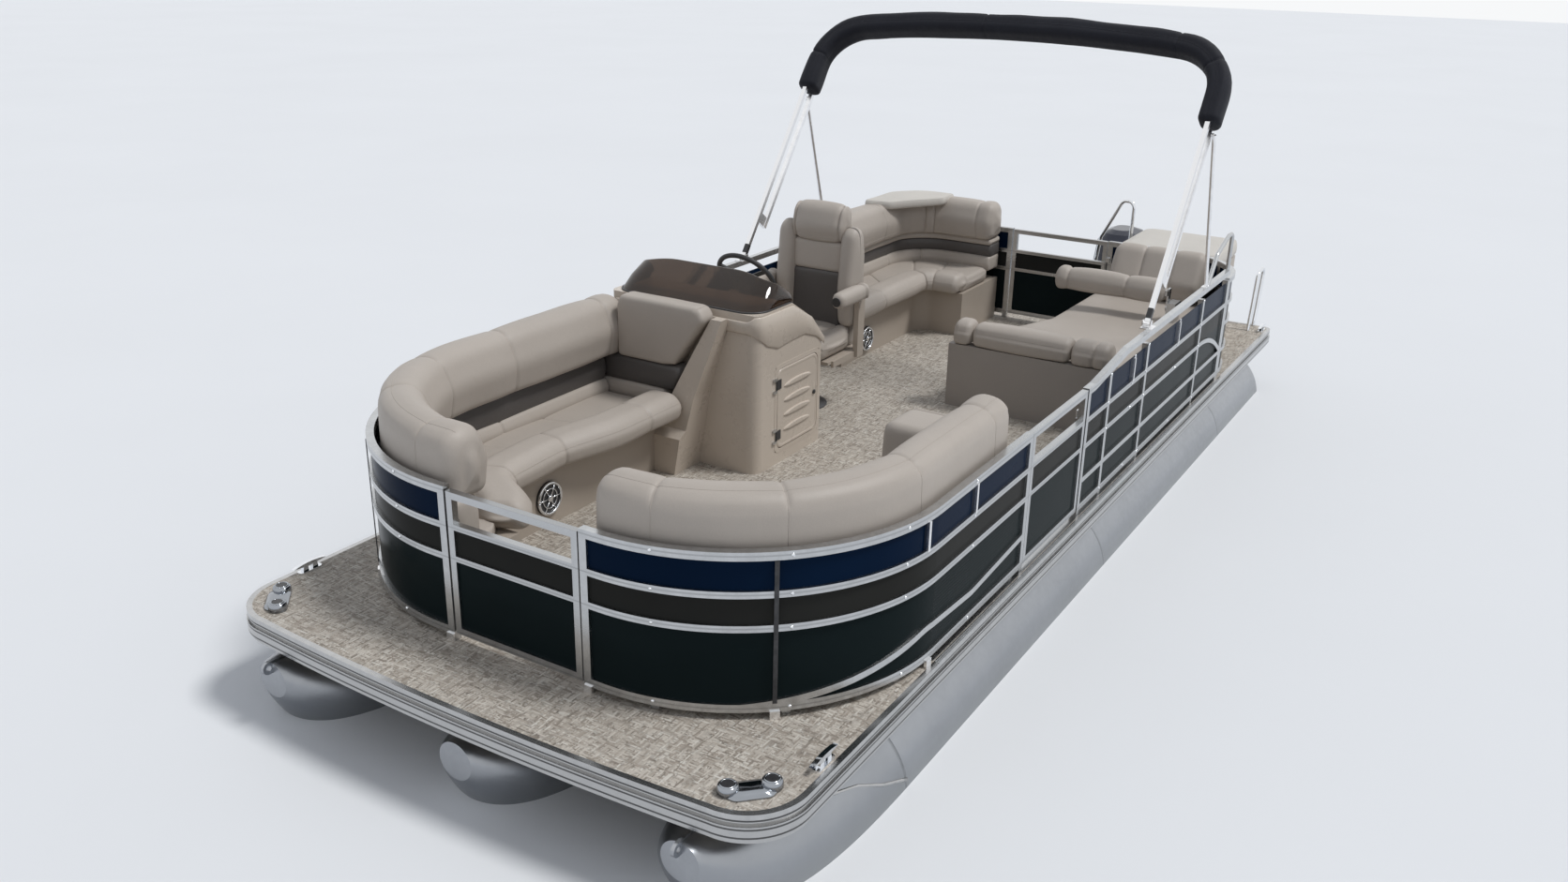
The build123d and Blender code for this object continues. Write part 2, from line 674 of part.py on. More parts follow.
# Windscreen, a thin wrapped sheet raked back over the dash
screen_thick = 7.0
screen_low = console_top + seated
screen_high = deck_top + 973.0
Cut = namedtuple("Cut", "fore aft inner outer radius z")
screen_cuts = [
    Cut(console_face - 22.0, dash_edge + 20.0, console_in - 14.0, console_out + 14.0, 90.0, screen_low),
    Cut(console_face - 255.0, dash_edge - 60.0, console_in - 60.0, console_out + 60.0, 70.0, screen_high),
]
with BuildPart() as screen:
    for cut in screen_cuts:
        k = sqrt(0.5)
        with BuildSketch(Plane.XY.offset(cut.z)):
            with BuildLine():
                for t in (0.0, screen_thick):
                    r = cut.radius - t
                    fx, yi, yo = cut.fore - t, cut.inner - t, cut.outer + t
                    Line((cut.aft, yi), (fx - r, yi))
                    ThreePointArc((fx - r, yi), (fx - r + r * k, yi - r + r * k), (fx, yi - r))
                    Line((fx, yi - r), (fx, yo + r))
                    ThreePointArc((fx, yo + r), (fx - r + r * k, yo + r - r * k), (fx - r, yo))
                    Line((fx - r, yo), (cut.aft, yo))
                Line((cut.aft, cut.inner), (cut.aft, cut.inner - screen_thick))
                Line((cut.aft, cut.outer), (cut.aft, cut.outer + screen_thick))
            make_face()
    loft(ruled=True)
save(screen, "console_windscreen")

# Steering wheel on its column stub
with BuildPart() as wheel:
    with Locations(wheel_plane.location):
        Torus(wheel_r, wheel_wire)
        with Locations((0, 0, -20.0)):
            Cylinder(38.0, 40.0)
        for turn in (90, 210, 330):
            with Locations(Location((0, 0, -8.0), (0, 0, turn))):
                with Locations((wheel_r / 2, 0, 0)):
                    Box(wheel_r - 4.0, 24.0, 10.0)
        with Locations((0, 0, -column_length / 2 + 10.0)):
            Cylinder(16.0, column_length - 60.0)
save(wheel, "steering_wheel")
# Helm chair on a swivel pedestal
chair_x, chair_y = console_aft - 405.0, console_in - 380.0
swivel_z = deck_top + 280.0
with BuildPart() as pedestal:
    with BuildSketch(Plane.XZ.offset(-chair_y)):
        with BuildLine():
            Polyline(
                (chair_x, deck_top), (chair_x + 150.0, deck_top), (chair_x + 150.0, deck_top + 8.0),
                (chair_x + 120.0, deck_top + 14.0), (chair_x + 62.0, deck_top + 22.0),
                (chair_x + 40.0, deck_top + 60.0), (chair_x + 38.0, swivel_z), (chair_x, swivel_z), close=True,
            )
        make_face()
    revolve(axis=Axis((chair_x, chair_y, 0), (0, 0, 1)))
save(pedestal, "helm_chair_pedestal")
cx, cy = chair_x, chair_y
with BuildPart() as chair_frame:
    with Locations((cx, cy, swivel_z + running + 20.0)):
        Cylinder(110.0, 40.0)
    for hand in (-1, 1):
        rail_y = (cy + hand * 252.0, cy + hand * 268.0)
        stile_y = (cy + hand * (255.0 + seated), cy + hand * 285.0)
        block((cx - 170.0, cx + 110.0), rail_y, (swivel_z + 10.0, swivel_z + 45.0))
        block((cx - 200.0, cx - 130.0), stile_y, (swivel_z + 12.0, deck_top + 640.0))
    block((cx - 230.0, cx + 150.0), (cy - 256.0, cy + 256.0), (swivel_z + 30.0, swivel_z + 46.0))
save(chair_frame, "helm_chair_frame")
with BuildPart() as chair_seat:
    rounded((cx - 150.0, cx + 215.0), (cy - 240.0, cy + 240.0), (swivel_z + 46.0, deck_top + 470.0), 70.0)
save(chair_seat, "helm_chair_seat")
with BuildPart() as chair_back:
    roll_y((cx - 270.0, cx - 155.0), (cy - 255.0, cy + 255.0), (swivel_z + 46.0, deck_top + 1020.0), 45.0)
    roll_y((cx - 262.0, cx - 130.0), (cy - 158.0, cy + 158.0), (deck_top + 1010.0, deck_top + 1130.0), 50.0)
    for hand in (-1, 1):
        wing_y = (cy + hand * 195.0, cy + hand * 250.0)
        block((cx - 262.0, cx - 112.0), wing_y, (deck_top + 500.0, deck_top + 990.0))
save(chair_back, "helm_chair_back")
with BuildPart() as arms:
    for hand in (-1, 1):
        roll_x((cx - 175.0, cx + 140.0), sorted((cy + hand * 258.0, cy + hand * 326.0)),
               (deck_top + 640.0, deck_top + 710.0), 28.0)
save(arms, "helm_chair_arms")

# Aft lounge to starboard
lounge_fore = stern_face + 1706.0
aft_end = 440.0
with BuildPart() as aft_base:
    bend(-1, -1, aft_end, lounge_fore, (deck_top, seat_z), inside, 640.0, 502.0, 110.0)
save(aft_base, "aft_lounge_base")
with BuildPart() as aft_seat:
    bend(-1, -1, aft_end, lounge_fore - 4.0, (seat_z, cushion_z), inside, 690.0, 560.0, 120.0)
save(aft_seat, "aft_lounge_seat")
aft_top = deck_top + 824.0
aft_points = [
    (inside, cushion_z), (210.0, cushion_z), (210.0, rail_top - 16.0), (262.0, rail_top + 26.0),
    (262.0, aft_top - 45.0), (222.0, aft_top), (inside + 35.0, aft_top), (inside, aft_top - 40.0),
]
with BuildPart() as aft_back:
    swept_back(-1, -1, aft_end - 14.0, lounge_fore, aft_points, 15.0)
save(aft_back, "aft_lounge_back")
with BuildPart() as corner_pad:
    bend(-1, -1, aft_end + 10.0, stern_face + 946.0, (aft_top, aft_top + 28.0), inside + 45.0, 205.0)
save(corner_pad, "aft_lounge_corner_pad")

# Chaise to port
chaise_fore = stern_face + 1956.0
chaise_aft = stern_face + 71.0
chaise_outer = side - inside


def chaise_slab(fore, aft, inset, z):
    # slab with the chaise's outline
    k = sqrt(0.5)
    r = stern_radius - inside - inset
    ccx, ccy = stern_face + stern_radius, side - stern_radius
    with BuildSketch(Plane.XY.offset(z[0])) as sk:
        with BuildLine():
            Polyline(
                (fore, chaise_outer - inset),
                (fore, 80.0 + inset),
                (fore - 250.0, 120.0 + inset),
                (fore - 890.0, 330.0 + inset),
                (stern_face + inside + inset, 350.0 + inset),
                (stern_face + inside + inset, ccy),
            )
            ThreePointArc((ccx - r, ccy), (ccx - r * k, ccy + r * k), (ccx, ccy + r))
            Line((ccx, ccy + r), (fore, chaise_outer - inset))
        make_face()
    extrude(sk.sketch, amount=z[1] - z[0])


with BuildPart() as chaise_base:
    chaise_slab(chaise_fore - 70.0, chaise_aft, 0.0, (deck_top, seat_z - 30.0))
    block((chaise_fore - 72.0, chaise_fore), (70.0, chaise_outer), (deck_top, deck_top + 370.0))
save(chaise_base, "chaise_base")
with BuildPart() as chaise_seat:
    chaise_slab(chaise_fore - 74.0, chaise_aft, 6.0, (seat_z - 30.0, deck_top + 362.0))
save(chaise_seat, "chaise_seat")
with BuildPart() as chaise_rolls:
    for y in ((84.0, 198.0), (202.0, 778.0), (782.0, 1000.0)):
        roll_y((chaise_fore - 140.0, chaise_fore - 4.0), y, (deck_top + 370.0, deck_top + 500.0), 45.0)
    head = (stern_face + 120.0, stern_face + 300.0)
    roll_y(head, (430.0, side - 240.0), (deck_top + 362.0, deck_top + 680.0), 60.0)
save(chaise_rolls, "chaise_rolls")
bar_x = chaise_fore - 1240.0
with BuildPart() as bar:
    roll_y((bar_x - 66.0, bar_x + 66.0), (230.0, 930.0), (deck_top + 467.0, deck_top + 600.0), 60.0)
    block((bar_x - 20.0, bar_x + 20.0), (940.0, 956.0), (deck_top + 430.0, deck_top + 560.0))
    block((bar_x - 20.0, bar_x + 20.0), (900.0, 956.0), (deck_top + 510.0, deck_top + 550.0))
    with Locations(Location((bar_x, 948.0, deck_top + 440.0), (90, 0, 0))):
        Cylinder(24.0, 16.0)
save(bar, "swingback_bar")
with BuildPart() as bar_hub:
    block((bar_x - 60.0, bar_x + 60.0), (956.0 + running, 1010.0), (deck_top + 362.0, deck_top + 480.0))
save(bar_hub, "swingback_hub")

# Sun pad behind the stern railing
pad_aft, pad_fore = stern_face - 684.0, stern_face - 34.0
pad_in, pad_out = side - 892.0, side - 242.0
pad_low = deck_top + 510.0
with BuildPart() as sunpad_base:
    rounded((pad_aft + 10.0, pad_fore - 10.0), (pad_in + 10.0, pad_out - 10.0), (deck_top, pad_low), 30.0)
save(sunpad_base, "sunpad_base")
with BuildPart() as sunpad:
    rounded((pad_aft, pad_fore), (pad_in, pad_out), (pad_low, pad_low + 110.0), 60.0)
save(sunpad, "sunpad_cushion")

# Speakers on the seat bases
Speaker = namedtuple("Speaker", "x y z")
speaker_rows = [
    Speaker(bow_face - 985.0, -side + 547.0, deck_top + 135.0),
    Speaker(stern_face + 1394.0, -side + 502.0, deck_top + 112.0),
]
with BuildPart() as speakers:
    for row in speaker_rows:
        with Locations(Location((row.x, row.y + 5.0, row.z), (90, 0, 0))):
            Cylinder(80.0, 10.0)
save(speakers, "speakers")

# Outboard motor
tilt = (transom_x - 40.0, transom_top - 20.0)
steer_x = transom_x - 120.0
plate_z = tube_z - tube_radius + 12.0
prop_z = plate_z - 190.0
with BuildPart() as bracket:
    for hand in (-1, 1):
        cheek_y = (hand * 88.0, hand * 104.0)
        block((transom_x - 62.0, transom_x - seated), cheek_y, (transom_top - 200.0, transom_top + 10.0))
    block((transom_x - 20.0, transom_x - seated), (-104.0, 104.0), (transom_top - 200.0, transom_top - 90.0))
save(bracket, "outboard_clamp_bracket")
with BuildPart() as swivel:
    block((transom_x - 150.0, transom_x - 90.0), (-45.0, 45.0), (transom_top - 240.0, transom_top + 20.0))
    block((transom_x - 95.0, transom_x - 26.0), (-82.0, 82.0), (transom_top - 45.0, transom_top + 5.0))
    with Locations(Location((tilt[0], 0, tilt[1]), (90, 0, 0))):
        Cylinder(16.0, 176.0 - 2 * running)
save(swivel, "outboard_swivel_bracket")
cowl_low = deck_top + 20.0
cowl_top = deck_top + 455.0
case_r, hub_r = 54.0, 44.0
case_aft = steer_x - 280.0
# Plan cuts of the leg from the plate up to the cowl
LegCut = namedtuple("LegCut", "z fore aft half")
leg_cuts = [
    LegCut(plate_z + 5.0, -75.0, -262.0, 30.0),
    LegCut(plate_z + 120.0, -75.0, -272.0, 40.0),
    LegCut(transom_top - 60.0, -75.0, -285.0, 52.0),
    LegCut(cowl_low, -62.0, -232.0, 84.0),
]
with BuildPart() as leg:
    for cut in leg_cuts:
        with BuildSketch(Plane.XY.offset(cut.z)):
            with Locations((steer_x + (cut.fore + cut.aft) / 2, 0)):
                RectangleRounded(cut.fore - cut.aft, 2 * cut.half, cut.half - 2.0)
    loft(ruled=True)
    block((steer_x - 120.0, steer_x + 50.0), (-60.0, 60.0), (transom_top + 26.0, transom_top + 80.0))
    block((steer_x - 120.0, steer_x + 50.0), (-50.0, 50.0), (transom_top - 300.0, transom_top - 246.0))
    for low, high in (
        (transom_top + 20.0 + running, transom_top + 28.0), (transom_top - 247.0, transom_top - 240.0 - running),
    ):
        with Locations((steer_x, 0, (low + high) / 2)):
            Cylinder(16.0, high - low)
    with BuildSketch(Plane.XY.offset(plate_z)) as plate:
        with BuildLine():
            Polyline(
                (steer_x - 340.0, -105.0), (steer_x - 170.0, -105.0), (steer_x + 10.0, -30.0),
                (steer_x + 10.0, 30.0), (steer_x - 170.0, 105.0), (steer_x - 340.0, 105.0), close=True,
            )
        make_face()
        fillet(plate.vertices(), 28.0)
    extrude(amount=10.0)
    for z, half in ((plate_z + 1.0, 24.0), (prop_z, 20.0)):
        with BuildSketch(Plane.XY.offset(z)):
            with Locations((steer_x - 160.0, 0)):
                Ellipse(92.0, half)
    loft(ruled=True)
    with BuildSketch(Plane.XY.offset(prop_z)):
        with BuildLine():
            Line((case_aft, 0), (case_aft, hub_r))
            Line((case_aft, hub_r), (steer_x - 190.0, case_r))
            Line((steer_x - 190.0, case_r), (steer_x - 90.0, case_r))
            ThreePointArc((steer_x - 90.0, case_r), (steer_x - 12.0, 0.72 * case_r), (steer_x + 34.0, 0))
            Line((steer_x + 34.0, 0), (case_aft, 0))
        make_face()
    revolve(axis=Axis((0, 0, prop_z), (1, 0, 0)))
    for z, fore, aft, half in ((prop_z - 20.0, -100.0, -262.0, 9.0), (prop_z - 172.0, -148.0, -238.0, 4.0)):
        with BuildSketch(Plane.XY.offset(z)):
            with Locations((steer_x + (fore + aft) / 2, 0)):
                Ellipse((fore - aft) / 2, half)
    loft(ruled=True)
save(leg, "outboard_leg")
# Engine cowl, lofted through plan cuts with round fronts that clear the deck when the motor tilts steered
CowlCut = namedtuple("CowlCut", "z fore aft half radius")
cowl_cuts = [
    CowlCut(cowl_low, 130.0, -245.0, 110.0, 90.0),
    CowlCut(cowl_low + 60.0, 172.0, -300.0, 158.0, 130.0),
    CowlCut(cowl_low + 200.0, 178.0, -335.0, 172.0, 150.0),
    CowlCut(cowl_low + 350.0, 150.0, -320.0, 160.0, 140.0),
    CowlCut(cowl_top - 25.0, 100.0, -270.0, 125.0, 110.0),
    CowlCut(cowl_top, 40.0, -180.0, 70.0, 60.0),
]
with BuildPart() as cowl:
    for cut in cowl_cuts:
        with BuildSketch(Plane.XY.offset(cut.z)):
            with Locations((steer_x + (cut.fore + cut.aft) / 2, 0)):
                RectangleRounded(cut.fore - cut.aft, 2 * cut.half, cut.radius)
    loft(ruled=True)
save(cowl, "outboard_cowl")
# Propeller, three blades lofted through cuts that are turned less and less towards the tip
BladeCut = namedtuple("BladeCut", "radius chord thick pitch")
blade_cuts = [
    BladeCut(34.0, 62.0, 12.0, 52.0),
    BladeCut(80.0, 104.0, 9.0, 60.0),
    BladeCut(125.0, 120.0, 6.0, 68.0),
    BladeCut(158.0, 92.0, 4.0, 72.0),
    BladeCut(174.0, 40.0, 3.0, 74.0),
]
hub_length = 100.0
prop_x = case_aft - hub_length / 2 - running
with BuildPart() as propeller:
    with BuildSketch(Plane.XZ):
        with BuildLine():
            Polyline(
                (prop_x - hub_length / 2, prop_z), (prop_x - hub_length / 2, prop_z + 26.0),
                (prop_x - 38.0, prop_z + 38.0), (prop_x + hub_length / 2, prop_z + hub_r),
                (prop_x + hub_length / 2, prop_z), close=True,
            )
        make_face()
    revolve(axis=Axis((0, 0, prop_z), (1, 0, 0)))
    for turn in (0.0, 120.0, 240.0):
        ry, rz = -sin(radians(turn)), cos(radians(turn))
        for cut in blade_cuts:
            lean, across = cos(radians(cut.pitch)), sin(radians(cut.pitch))
            with BuildSketch(Plane(
                origin=(prop_x, cut.radius * ry, prop_z + cut.radius * rz),
                x_dir=(lean, across * rz, -across * ry), z_dir=(0, ry, rz),
            )):
                Ellipse(cut.chord / 2, cut.thick / 2)
        loft()
save(propeller, "propeller")

# Grab rail beside the motor and stern handrail
hand_r = 12.5
hoops = [
    [
        (stern + 420.0, 60.0, deck_top), (stern + 400.0, 120.0, deck_top + 560.0),
        (stern + 420.0, 260.0, deck_top + 840.0), (stern + 440.0, 345.0, deck_top + 840.0),
        (stern + 450.0, 345.0, deck_top),
    ],
    [
        (stern + 180.0, half_beam - 130.0, deck_top), (stern + 110.0, half_beam - 130.0, deck_top + 390.0),
        (stern - 60.0, half_beam - 130.0, deck_top + 410.0), (stern + 25.0, half_beam - 130.0, deck_top),
    ],
]
with BuildPart() as handrails:
    for points in hoops:
        with BuildLine() as path:
            FilletPolyline(*points, radius=45.0)
        with BuildSketch(Plane(origin=path.line @ 0, z_dir=path.line % 0)) as sk:
            Circle(hand_r)
        sweep(sk.sketch, path=path.line)
        split(bisect_by=Plane.XY.offset(deck_top + 0.2), keep=Keep.TOP)
save(handrails, "stern_handrails")

# Raised handrail on the port side of the aft corner
with BuildPart() as arch:
    y = side - tube / 2
    top = rail_top + aft_rise + seated
    arch_x = side_from + 480.0
    with BuildLine() as path:
        FilletPolyline(
            (arch_x, y, top - 20.0), (arch_x - 150.0, y, top + 150.0), (side_from + 110.0, y, top + 222.0),
            (side_from + 18.0, y, top + 222.0), (side_from + 18.0, y, top - 20.0), radius=40.0,
        )
    with BuildSketch(Plane(origin=path.line @ 0, z_dir=path.line % 0)):
        Circle(12.5)
    sweep(path=path.line)
    split(bisect_by=Plane.XY.offset(top), keep=Keep.TOP)
save(arch, "side_arch_rail")

# Folding top, stowed in its boot and leaning aft
rail_line = rail_top + aft_rise
pivot_x, pivot_z = stern_face + 2121.0, rail_line + 22.0
pivot_y = side - 38.0
frame_lean = (-0.5906, 0.0, 0.8070)
frame_normal = (0.8070, 0.0, 0.5906)
frame_plane = Plane(origin=(pivot_x, 0, pivot_z), x_dir=(0, 1, 0), z_dir=frame_normal)
strut = 25.0
boot_start, boot_top = 1150.0, 1730.0
second = 90.0
with BuildPart() as frame:
    with Locations(frame_plane.location):
        for hand in (-1, 1):
            y = hand * pivot_y
            wide = (y - strut / 2, y + strut / 2)
            block(wide, (6.0, boot_start - seated), (-strut / 2, strut / 2))
            block(wide, (240.0, boot_start - seated), (-second - strut / 2, -second + strut / 2))
            block((y - strut / 2 + 2, y + strut / 2 - 2), (240.0, 300.0), (-second, 0.0))
        for hand in (-1, 1):
            with Locations(Location((hand * pivot_y, 0, 0), (0, 90, 0))):
                Cylinder(12.5, 34.0 - 2 * running)
save(frame, "top_frame_struts")
with BuildPart() as boot:
    ro = 290.0
    k = sqrt(0.5)
    with BuildSketch(frame_plane.offset(-second - 25.0)):
        with BuildLine():
            for w in (65.0, -65.0):
                half, crown = pivot_y + w, boot_top - 62.0 + w
                r = ro + w
                start = boot_start + 180.0
                big = ((half - r) ** 2 + (crown - start) ** 2 - r * r) / (2 * ((crown - start) - r))
                ccx, ccy = half - r, start
                dx, dy = half - r, start - (crown - big)
                n = sqrt(dx * dx + dy * dy)
                tx, ty = ccx + r * dx / n, ccy + r * dy / n
                mx, my = ccx + r * sin(radians(48.0)), ccy + r * cos(radians(48.0))
                Line((half, boot_start), (half, start))
                ThreePointArc((half, start), (mx, my), (tx, ty))
                ThreePointArc((tx, ty), (0, crown), (-tx, ty))
                ThreePointArc((-tx, ty), (-mx, my), (-half, start))
                Line((-half, start), (-half, boot_start))
            Line((pivot_y + 65.0, boot_start), (pivot_y - 65.0, boot_start))
            Line((-pivot_y - 65.0, boot_start), (-pivot_y + 65.0, boot_start))
        make_face()
    extrude(amount=second + 60.0)
save(boot, "top_boot")

# Rear braces of the folding top, pinned on the rail outside the struts
brace_r = 11.0
brace_y = side - 12.0
brace_foot = (pivot_x - 1015.0, rail_line + 12.0)
brace_head = (pivot_x + frame_lean[0] * 1130.0 - frame_normal[0] * second,
              pivot_z + frame_lean[2] * 1130.0 - frame_normal[2] * second)
with BuildPart() as braces:
    for hand in (-1, 1):
        dx, dz = brace_foot[0] - brace_head[0], brace_foot[1] - brace_head[1]
        brace_plane = Plane(origin=(brace_head[0], hand * brace_y, brace_head[1]), z_dir=(dx, 0, dz))
        with BuildSketch(brace_plane) as sk:
            Circle(brace_r)
        extrude(sk.sketch, amount=sqrt(dx * dx + dz * dz))
        with Locations(Location((brace_head[0], hand * (brace_y - 6.9), brace_head[1]), (90, 0, 0))):
            Cylinder(9.0, 13.0)
save(braces, "top_frame_braces")
with BuildPart() as mounts:
    for hand in (-1, 1):
        y = hand * pivot_y
        block((pivot_x - 40.0, pivot_x + 40.0), (y - 23.0, y + 36.0) if hand > 0 else (y - 36.0, y + 23.0),
              (rail_line + seated, rail_line + 7.0))
        for d in (-20.0, 20.0):
            ear_y = (y + d - 3.0, y + d + 3.0)
            block((pivot_x - 16.0, pivot_x + 16.0), ear_y, (rail_line + 6.0, pivot_z + 16.0))
    for hand in (-1, 1):
        x = brace_foot[0]
        block((x - 30.0, x + 30.0), sorted((hand * (side - tube + 1.0), hand * (side - 1.0))),
              (rail_line + seated, rail_line + 6.0))
save(mounts, "top_frame_mounts")
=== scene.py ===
import math
from bisect import bisect_left
import bpy
import bmesh
from mathutils import Matrix, Vector, noise


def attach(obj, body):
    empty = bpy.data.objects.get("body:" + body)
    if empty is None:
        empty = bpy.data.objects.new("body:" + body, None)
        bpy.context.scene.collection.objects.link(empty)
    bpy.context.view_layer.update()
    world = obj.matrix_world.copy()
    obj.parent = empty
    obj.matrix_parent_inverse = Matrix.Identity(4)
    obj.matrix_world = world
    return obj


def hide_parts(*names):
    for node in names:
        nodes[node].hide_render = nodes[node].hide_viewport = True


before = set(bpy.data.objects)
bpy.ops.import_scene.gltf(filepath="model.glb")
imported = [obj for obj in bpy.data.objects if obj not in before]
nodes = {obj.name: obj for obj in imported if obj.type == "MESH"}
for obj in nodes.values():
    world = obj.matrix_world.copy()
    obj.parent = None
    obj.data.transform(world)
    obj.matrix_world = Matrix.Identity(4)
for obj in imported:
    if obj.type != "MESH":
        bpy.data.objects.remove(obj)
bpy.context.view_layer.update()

upright = Vector((0, 0, 1))
print("frame loaded:", len(nodes), "CAD nodes")


def placed(name, data):
    # a new object in the scene for a camera, lamp or mesh
    obj = bpy.data.objects.new(name, data)
    bpy.context.scene.collection.objects.link(obj)
    return obj


# Nodes

def feed(tree, socket, value):
    # puts a number, a colour or another node's output into a socket
    if isinstance(value, (int, float)):
        socket.default_value = value
    elif isinstance(value, tuple):
        socket.default_value = (*value, 1)
    else:
        tree.links.new(value, socket)


def addNode(tree, kind, feeds=None, **settings):
    node = tree.nodes.new("ShaderNode" + kind)
    for label, value in settings.items():
        setattr(node, label, value)
    for key, value in (feeds or {}).items():
        feed(tree, node.inputs[key], value)
    return node


def mathNode(tree, operation, *values):
    return addNode(tree, "Math", dict(enumerate(values)), operation=operation).outputs[0]


def times(tree, first, second):
    return mathNode(tree, "MULTIPLY", first, second)


def strongest(tree, masks):
    best = masks[0]
    for mask in masks[1:]:
        best = mathNode(tree, "MAXIMUM", best, mask)
    return best


def mixColour(tree, factor, first, second, blend="MIX"):
    feeds = {"Factor": factor, 6: first, 7: second}
    return addNode(tree, "Mix", feeds, data_type="RGBA", blend_type=blend).outputs[2]


def objectPlace(tree, stretch=None):
    place = addNode(tree, "TexCoord").outputs["Object"]
    if stretch:
        mapping = addNode(tree, "Mapping", {"Vector": place})
        mapping.inputs["Scale"].default_value = stretch
        place = mapping.outputs[0]
    return place


def splitPlace(tree):
    return addNode(tree, "SeparateXYZ", {0: objectPlace(tree)}).outputs


def noiseNode(tree, place, scale, detail=2.0, rough=0.5):
    feeds = {"Vector": place, "Scale": scale, "Detail": detail, "Roughness": rough}
    return addNode(tree, "TexNoise", feeds).outputs["Fac"]


def ramp(tree, value, low, high, toLow=0.0, toHigh=1.0):
    feeds = {"Value": value, "From Min": low, "From Max": high, "To Min": toLow, "To Max": toHigh}
    return addNode(tree, "MapRange", feeds).outputs[0]


# Camera, light and floor

photoView = {
    "place": (5.995, 2.981, 2.949),
    "heading": 211.39,      # degrees from the bow towards port
    "dip": 21.36,           # degrees below level
    "tilt": 1.135,
    "focal": 1387.2,        # pixels, on a frame 1672 wide
    "frameWidth": 1672,
    "sensor": 36.0,
    "farthest": 400,
}


def makeCamera(view):
    heading, dip, tilt = (math.radians(view[k]) for k in ("heading", "dip", "tilt"))
    ahead = Vector((math.cos(heading) * math.cos(dip), math.sin(heading) * math.cos(dip), -math.sin(dip)))
    level = Vector((math.sin(heading), -math.cos(heading), 0))
    over = level.cross(ahead)
    right = math.cos(tilt) * level + math.sin(tilt) * over
    up = -math.sin(tilt) * level + math.cos(tilt) * over
    camera = bpy.data.cameras.new("photoCamera")
    camera.sensor_fit = "HORIZONTAL"
    camera.sensor_width = view["sensor"]
    camera.lens = view["focal"] / view["frameWidth"] * view["sensor"]
    camera.clip_end = view["farthest"]
    obj = placed("photoCamera", camera)
    turn = Matrix((right, up, -ahead)).transposed().to_4x4()
    obj.matrix_world = Matrix.Translation(view["place"]) @ turn
    bpy.context.scene.camera = obj


studio = {
    "sun": 1.9, "sunAngle": 14.0,      # W/m2, degrees
    "sunFrom": (-0.25, 0.55, 1.0),     # from port and a little aft
    "sky": (0.86, 0.91, 1.0), "skyLevel": 0.50,
    "backdrop": (0.93, 0.94, 0.95),
    "floor": (0.80, 0.81, 0.82), "floorSize": 60.0,
}


def makeStudio(spec):
    sun = bpy.data.lights.new("softSun", "SUN")
    sun.energy = spec["sun"]
    sun.angle = math.radians(spec["sunAngle"])
    placed("softSun", sun).rotation_euler = Vector(spec["sunFrom"]).to_track_quat("Z", "Y").to_euler()
    world = bpy.data.worlds.new("paleRoom")
    bpy.context.scene.world = world
    world.use_nodes = True
    tree = world.node_tree
    tree.nodes.clear()
    seen = addNode(tree, "Background", {"Color": spec["backdrop"]})
    lit = addNode(tree, "Background", {"Color": spec["sky"], "Strength": spec["skyLevel"]})
    rays = addNode(tree, "LightPath").outputs
    shows = strongest(tree, [rays[f"Is {k} Ray"] for k in ("Camera", "Transmission", "Glossy")])
    mix = addNode(tree, "MixShader", {"Fac": shows, 1: lit.outputs[0], 2: seen.outputs[0]})
    addNode(tree, "OutputWorld", {"Surface": mix.outputs[0]})


makeCamera(photoView)
makeStudio(studio)
bpy.context.scene.view_settings.view_transform = "Standard"
print("camera and light made")


# Shader groups, each an effect that several materials share

def newGroup(name, takes, gives):
    tree = bpy.data.node_groups.new(name, "ShaderNodeTree")
    for label, value in takes.items():
        kind = "NodeSocketColor" if isinstance(value, tuple) else "NodeSocketFloat"
        feed(tree, tree.interface.new_socket(name=label, in_out="INPUT", socket_type=kind), value)
    for label in gives:
        kind = "NodeSocketColor" if label == "Color" else "NodeSocketFloat"
        tree.interface.new_socket(name=label, in_out="OUTPUT", socket_type=kind)
    return tree, tree.nodes.new("NodeGroupInput").outputs, tree.nodes.new("NodeGroupOutput").inputs


def makeTone():
    # a slow change of shade over the surface, with faint dust on what faces up
    tree, given, out = newGroup("toneDrift", {
        "Base": (0.5, 0.5, 0.5), "Dust Colour": (0.6, 0.57, 0.5), "Drift": 0.12, "Patch Scale": 3.0,
        "Dust": 0.15}, ("Color",))
    place = objectPlace(tree)
    broad = noiseNode(tree, place, given["Patch Scale"], 4.0, 0.6)
    factor = times(tree, ramp(tree, broad, 0.3, 0.7), given["Drift"])
    shade = mixColour(tree, factor, given["Base"], (0.25, 0.24, 0.23), "MULTIPLY")
    normal = addNode(tree, "NewGeometry").outputs["Normal"]
    up = ramp(tree, addNode(tree, "SeparateXYZ", {0: normal}).outputs["Z"], 0.6, 1.0)
    fine = ramp(tree, noiseNode(tree, place, 40.0, 5.0, 0.7), 0.45, 0.75)
    dust = times(tree, times(tree, up, fine), given["Dust"])
    feed(tree, out["Color"], mixColour(tree, dust, shade, given["Dust Colour"]))
    return tree


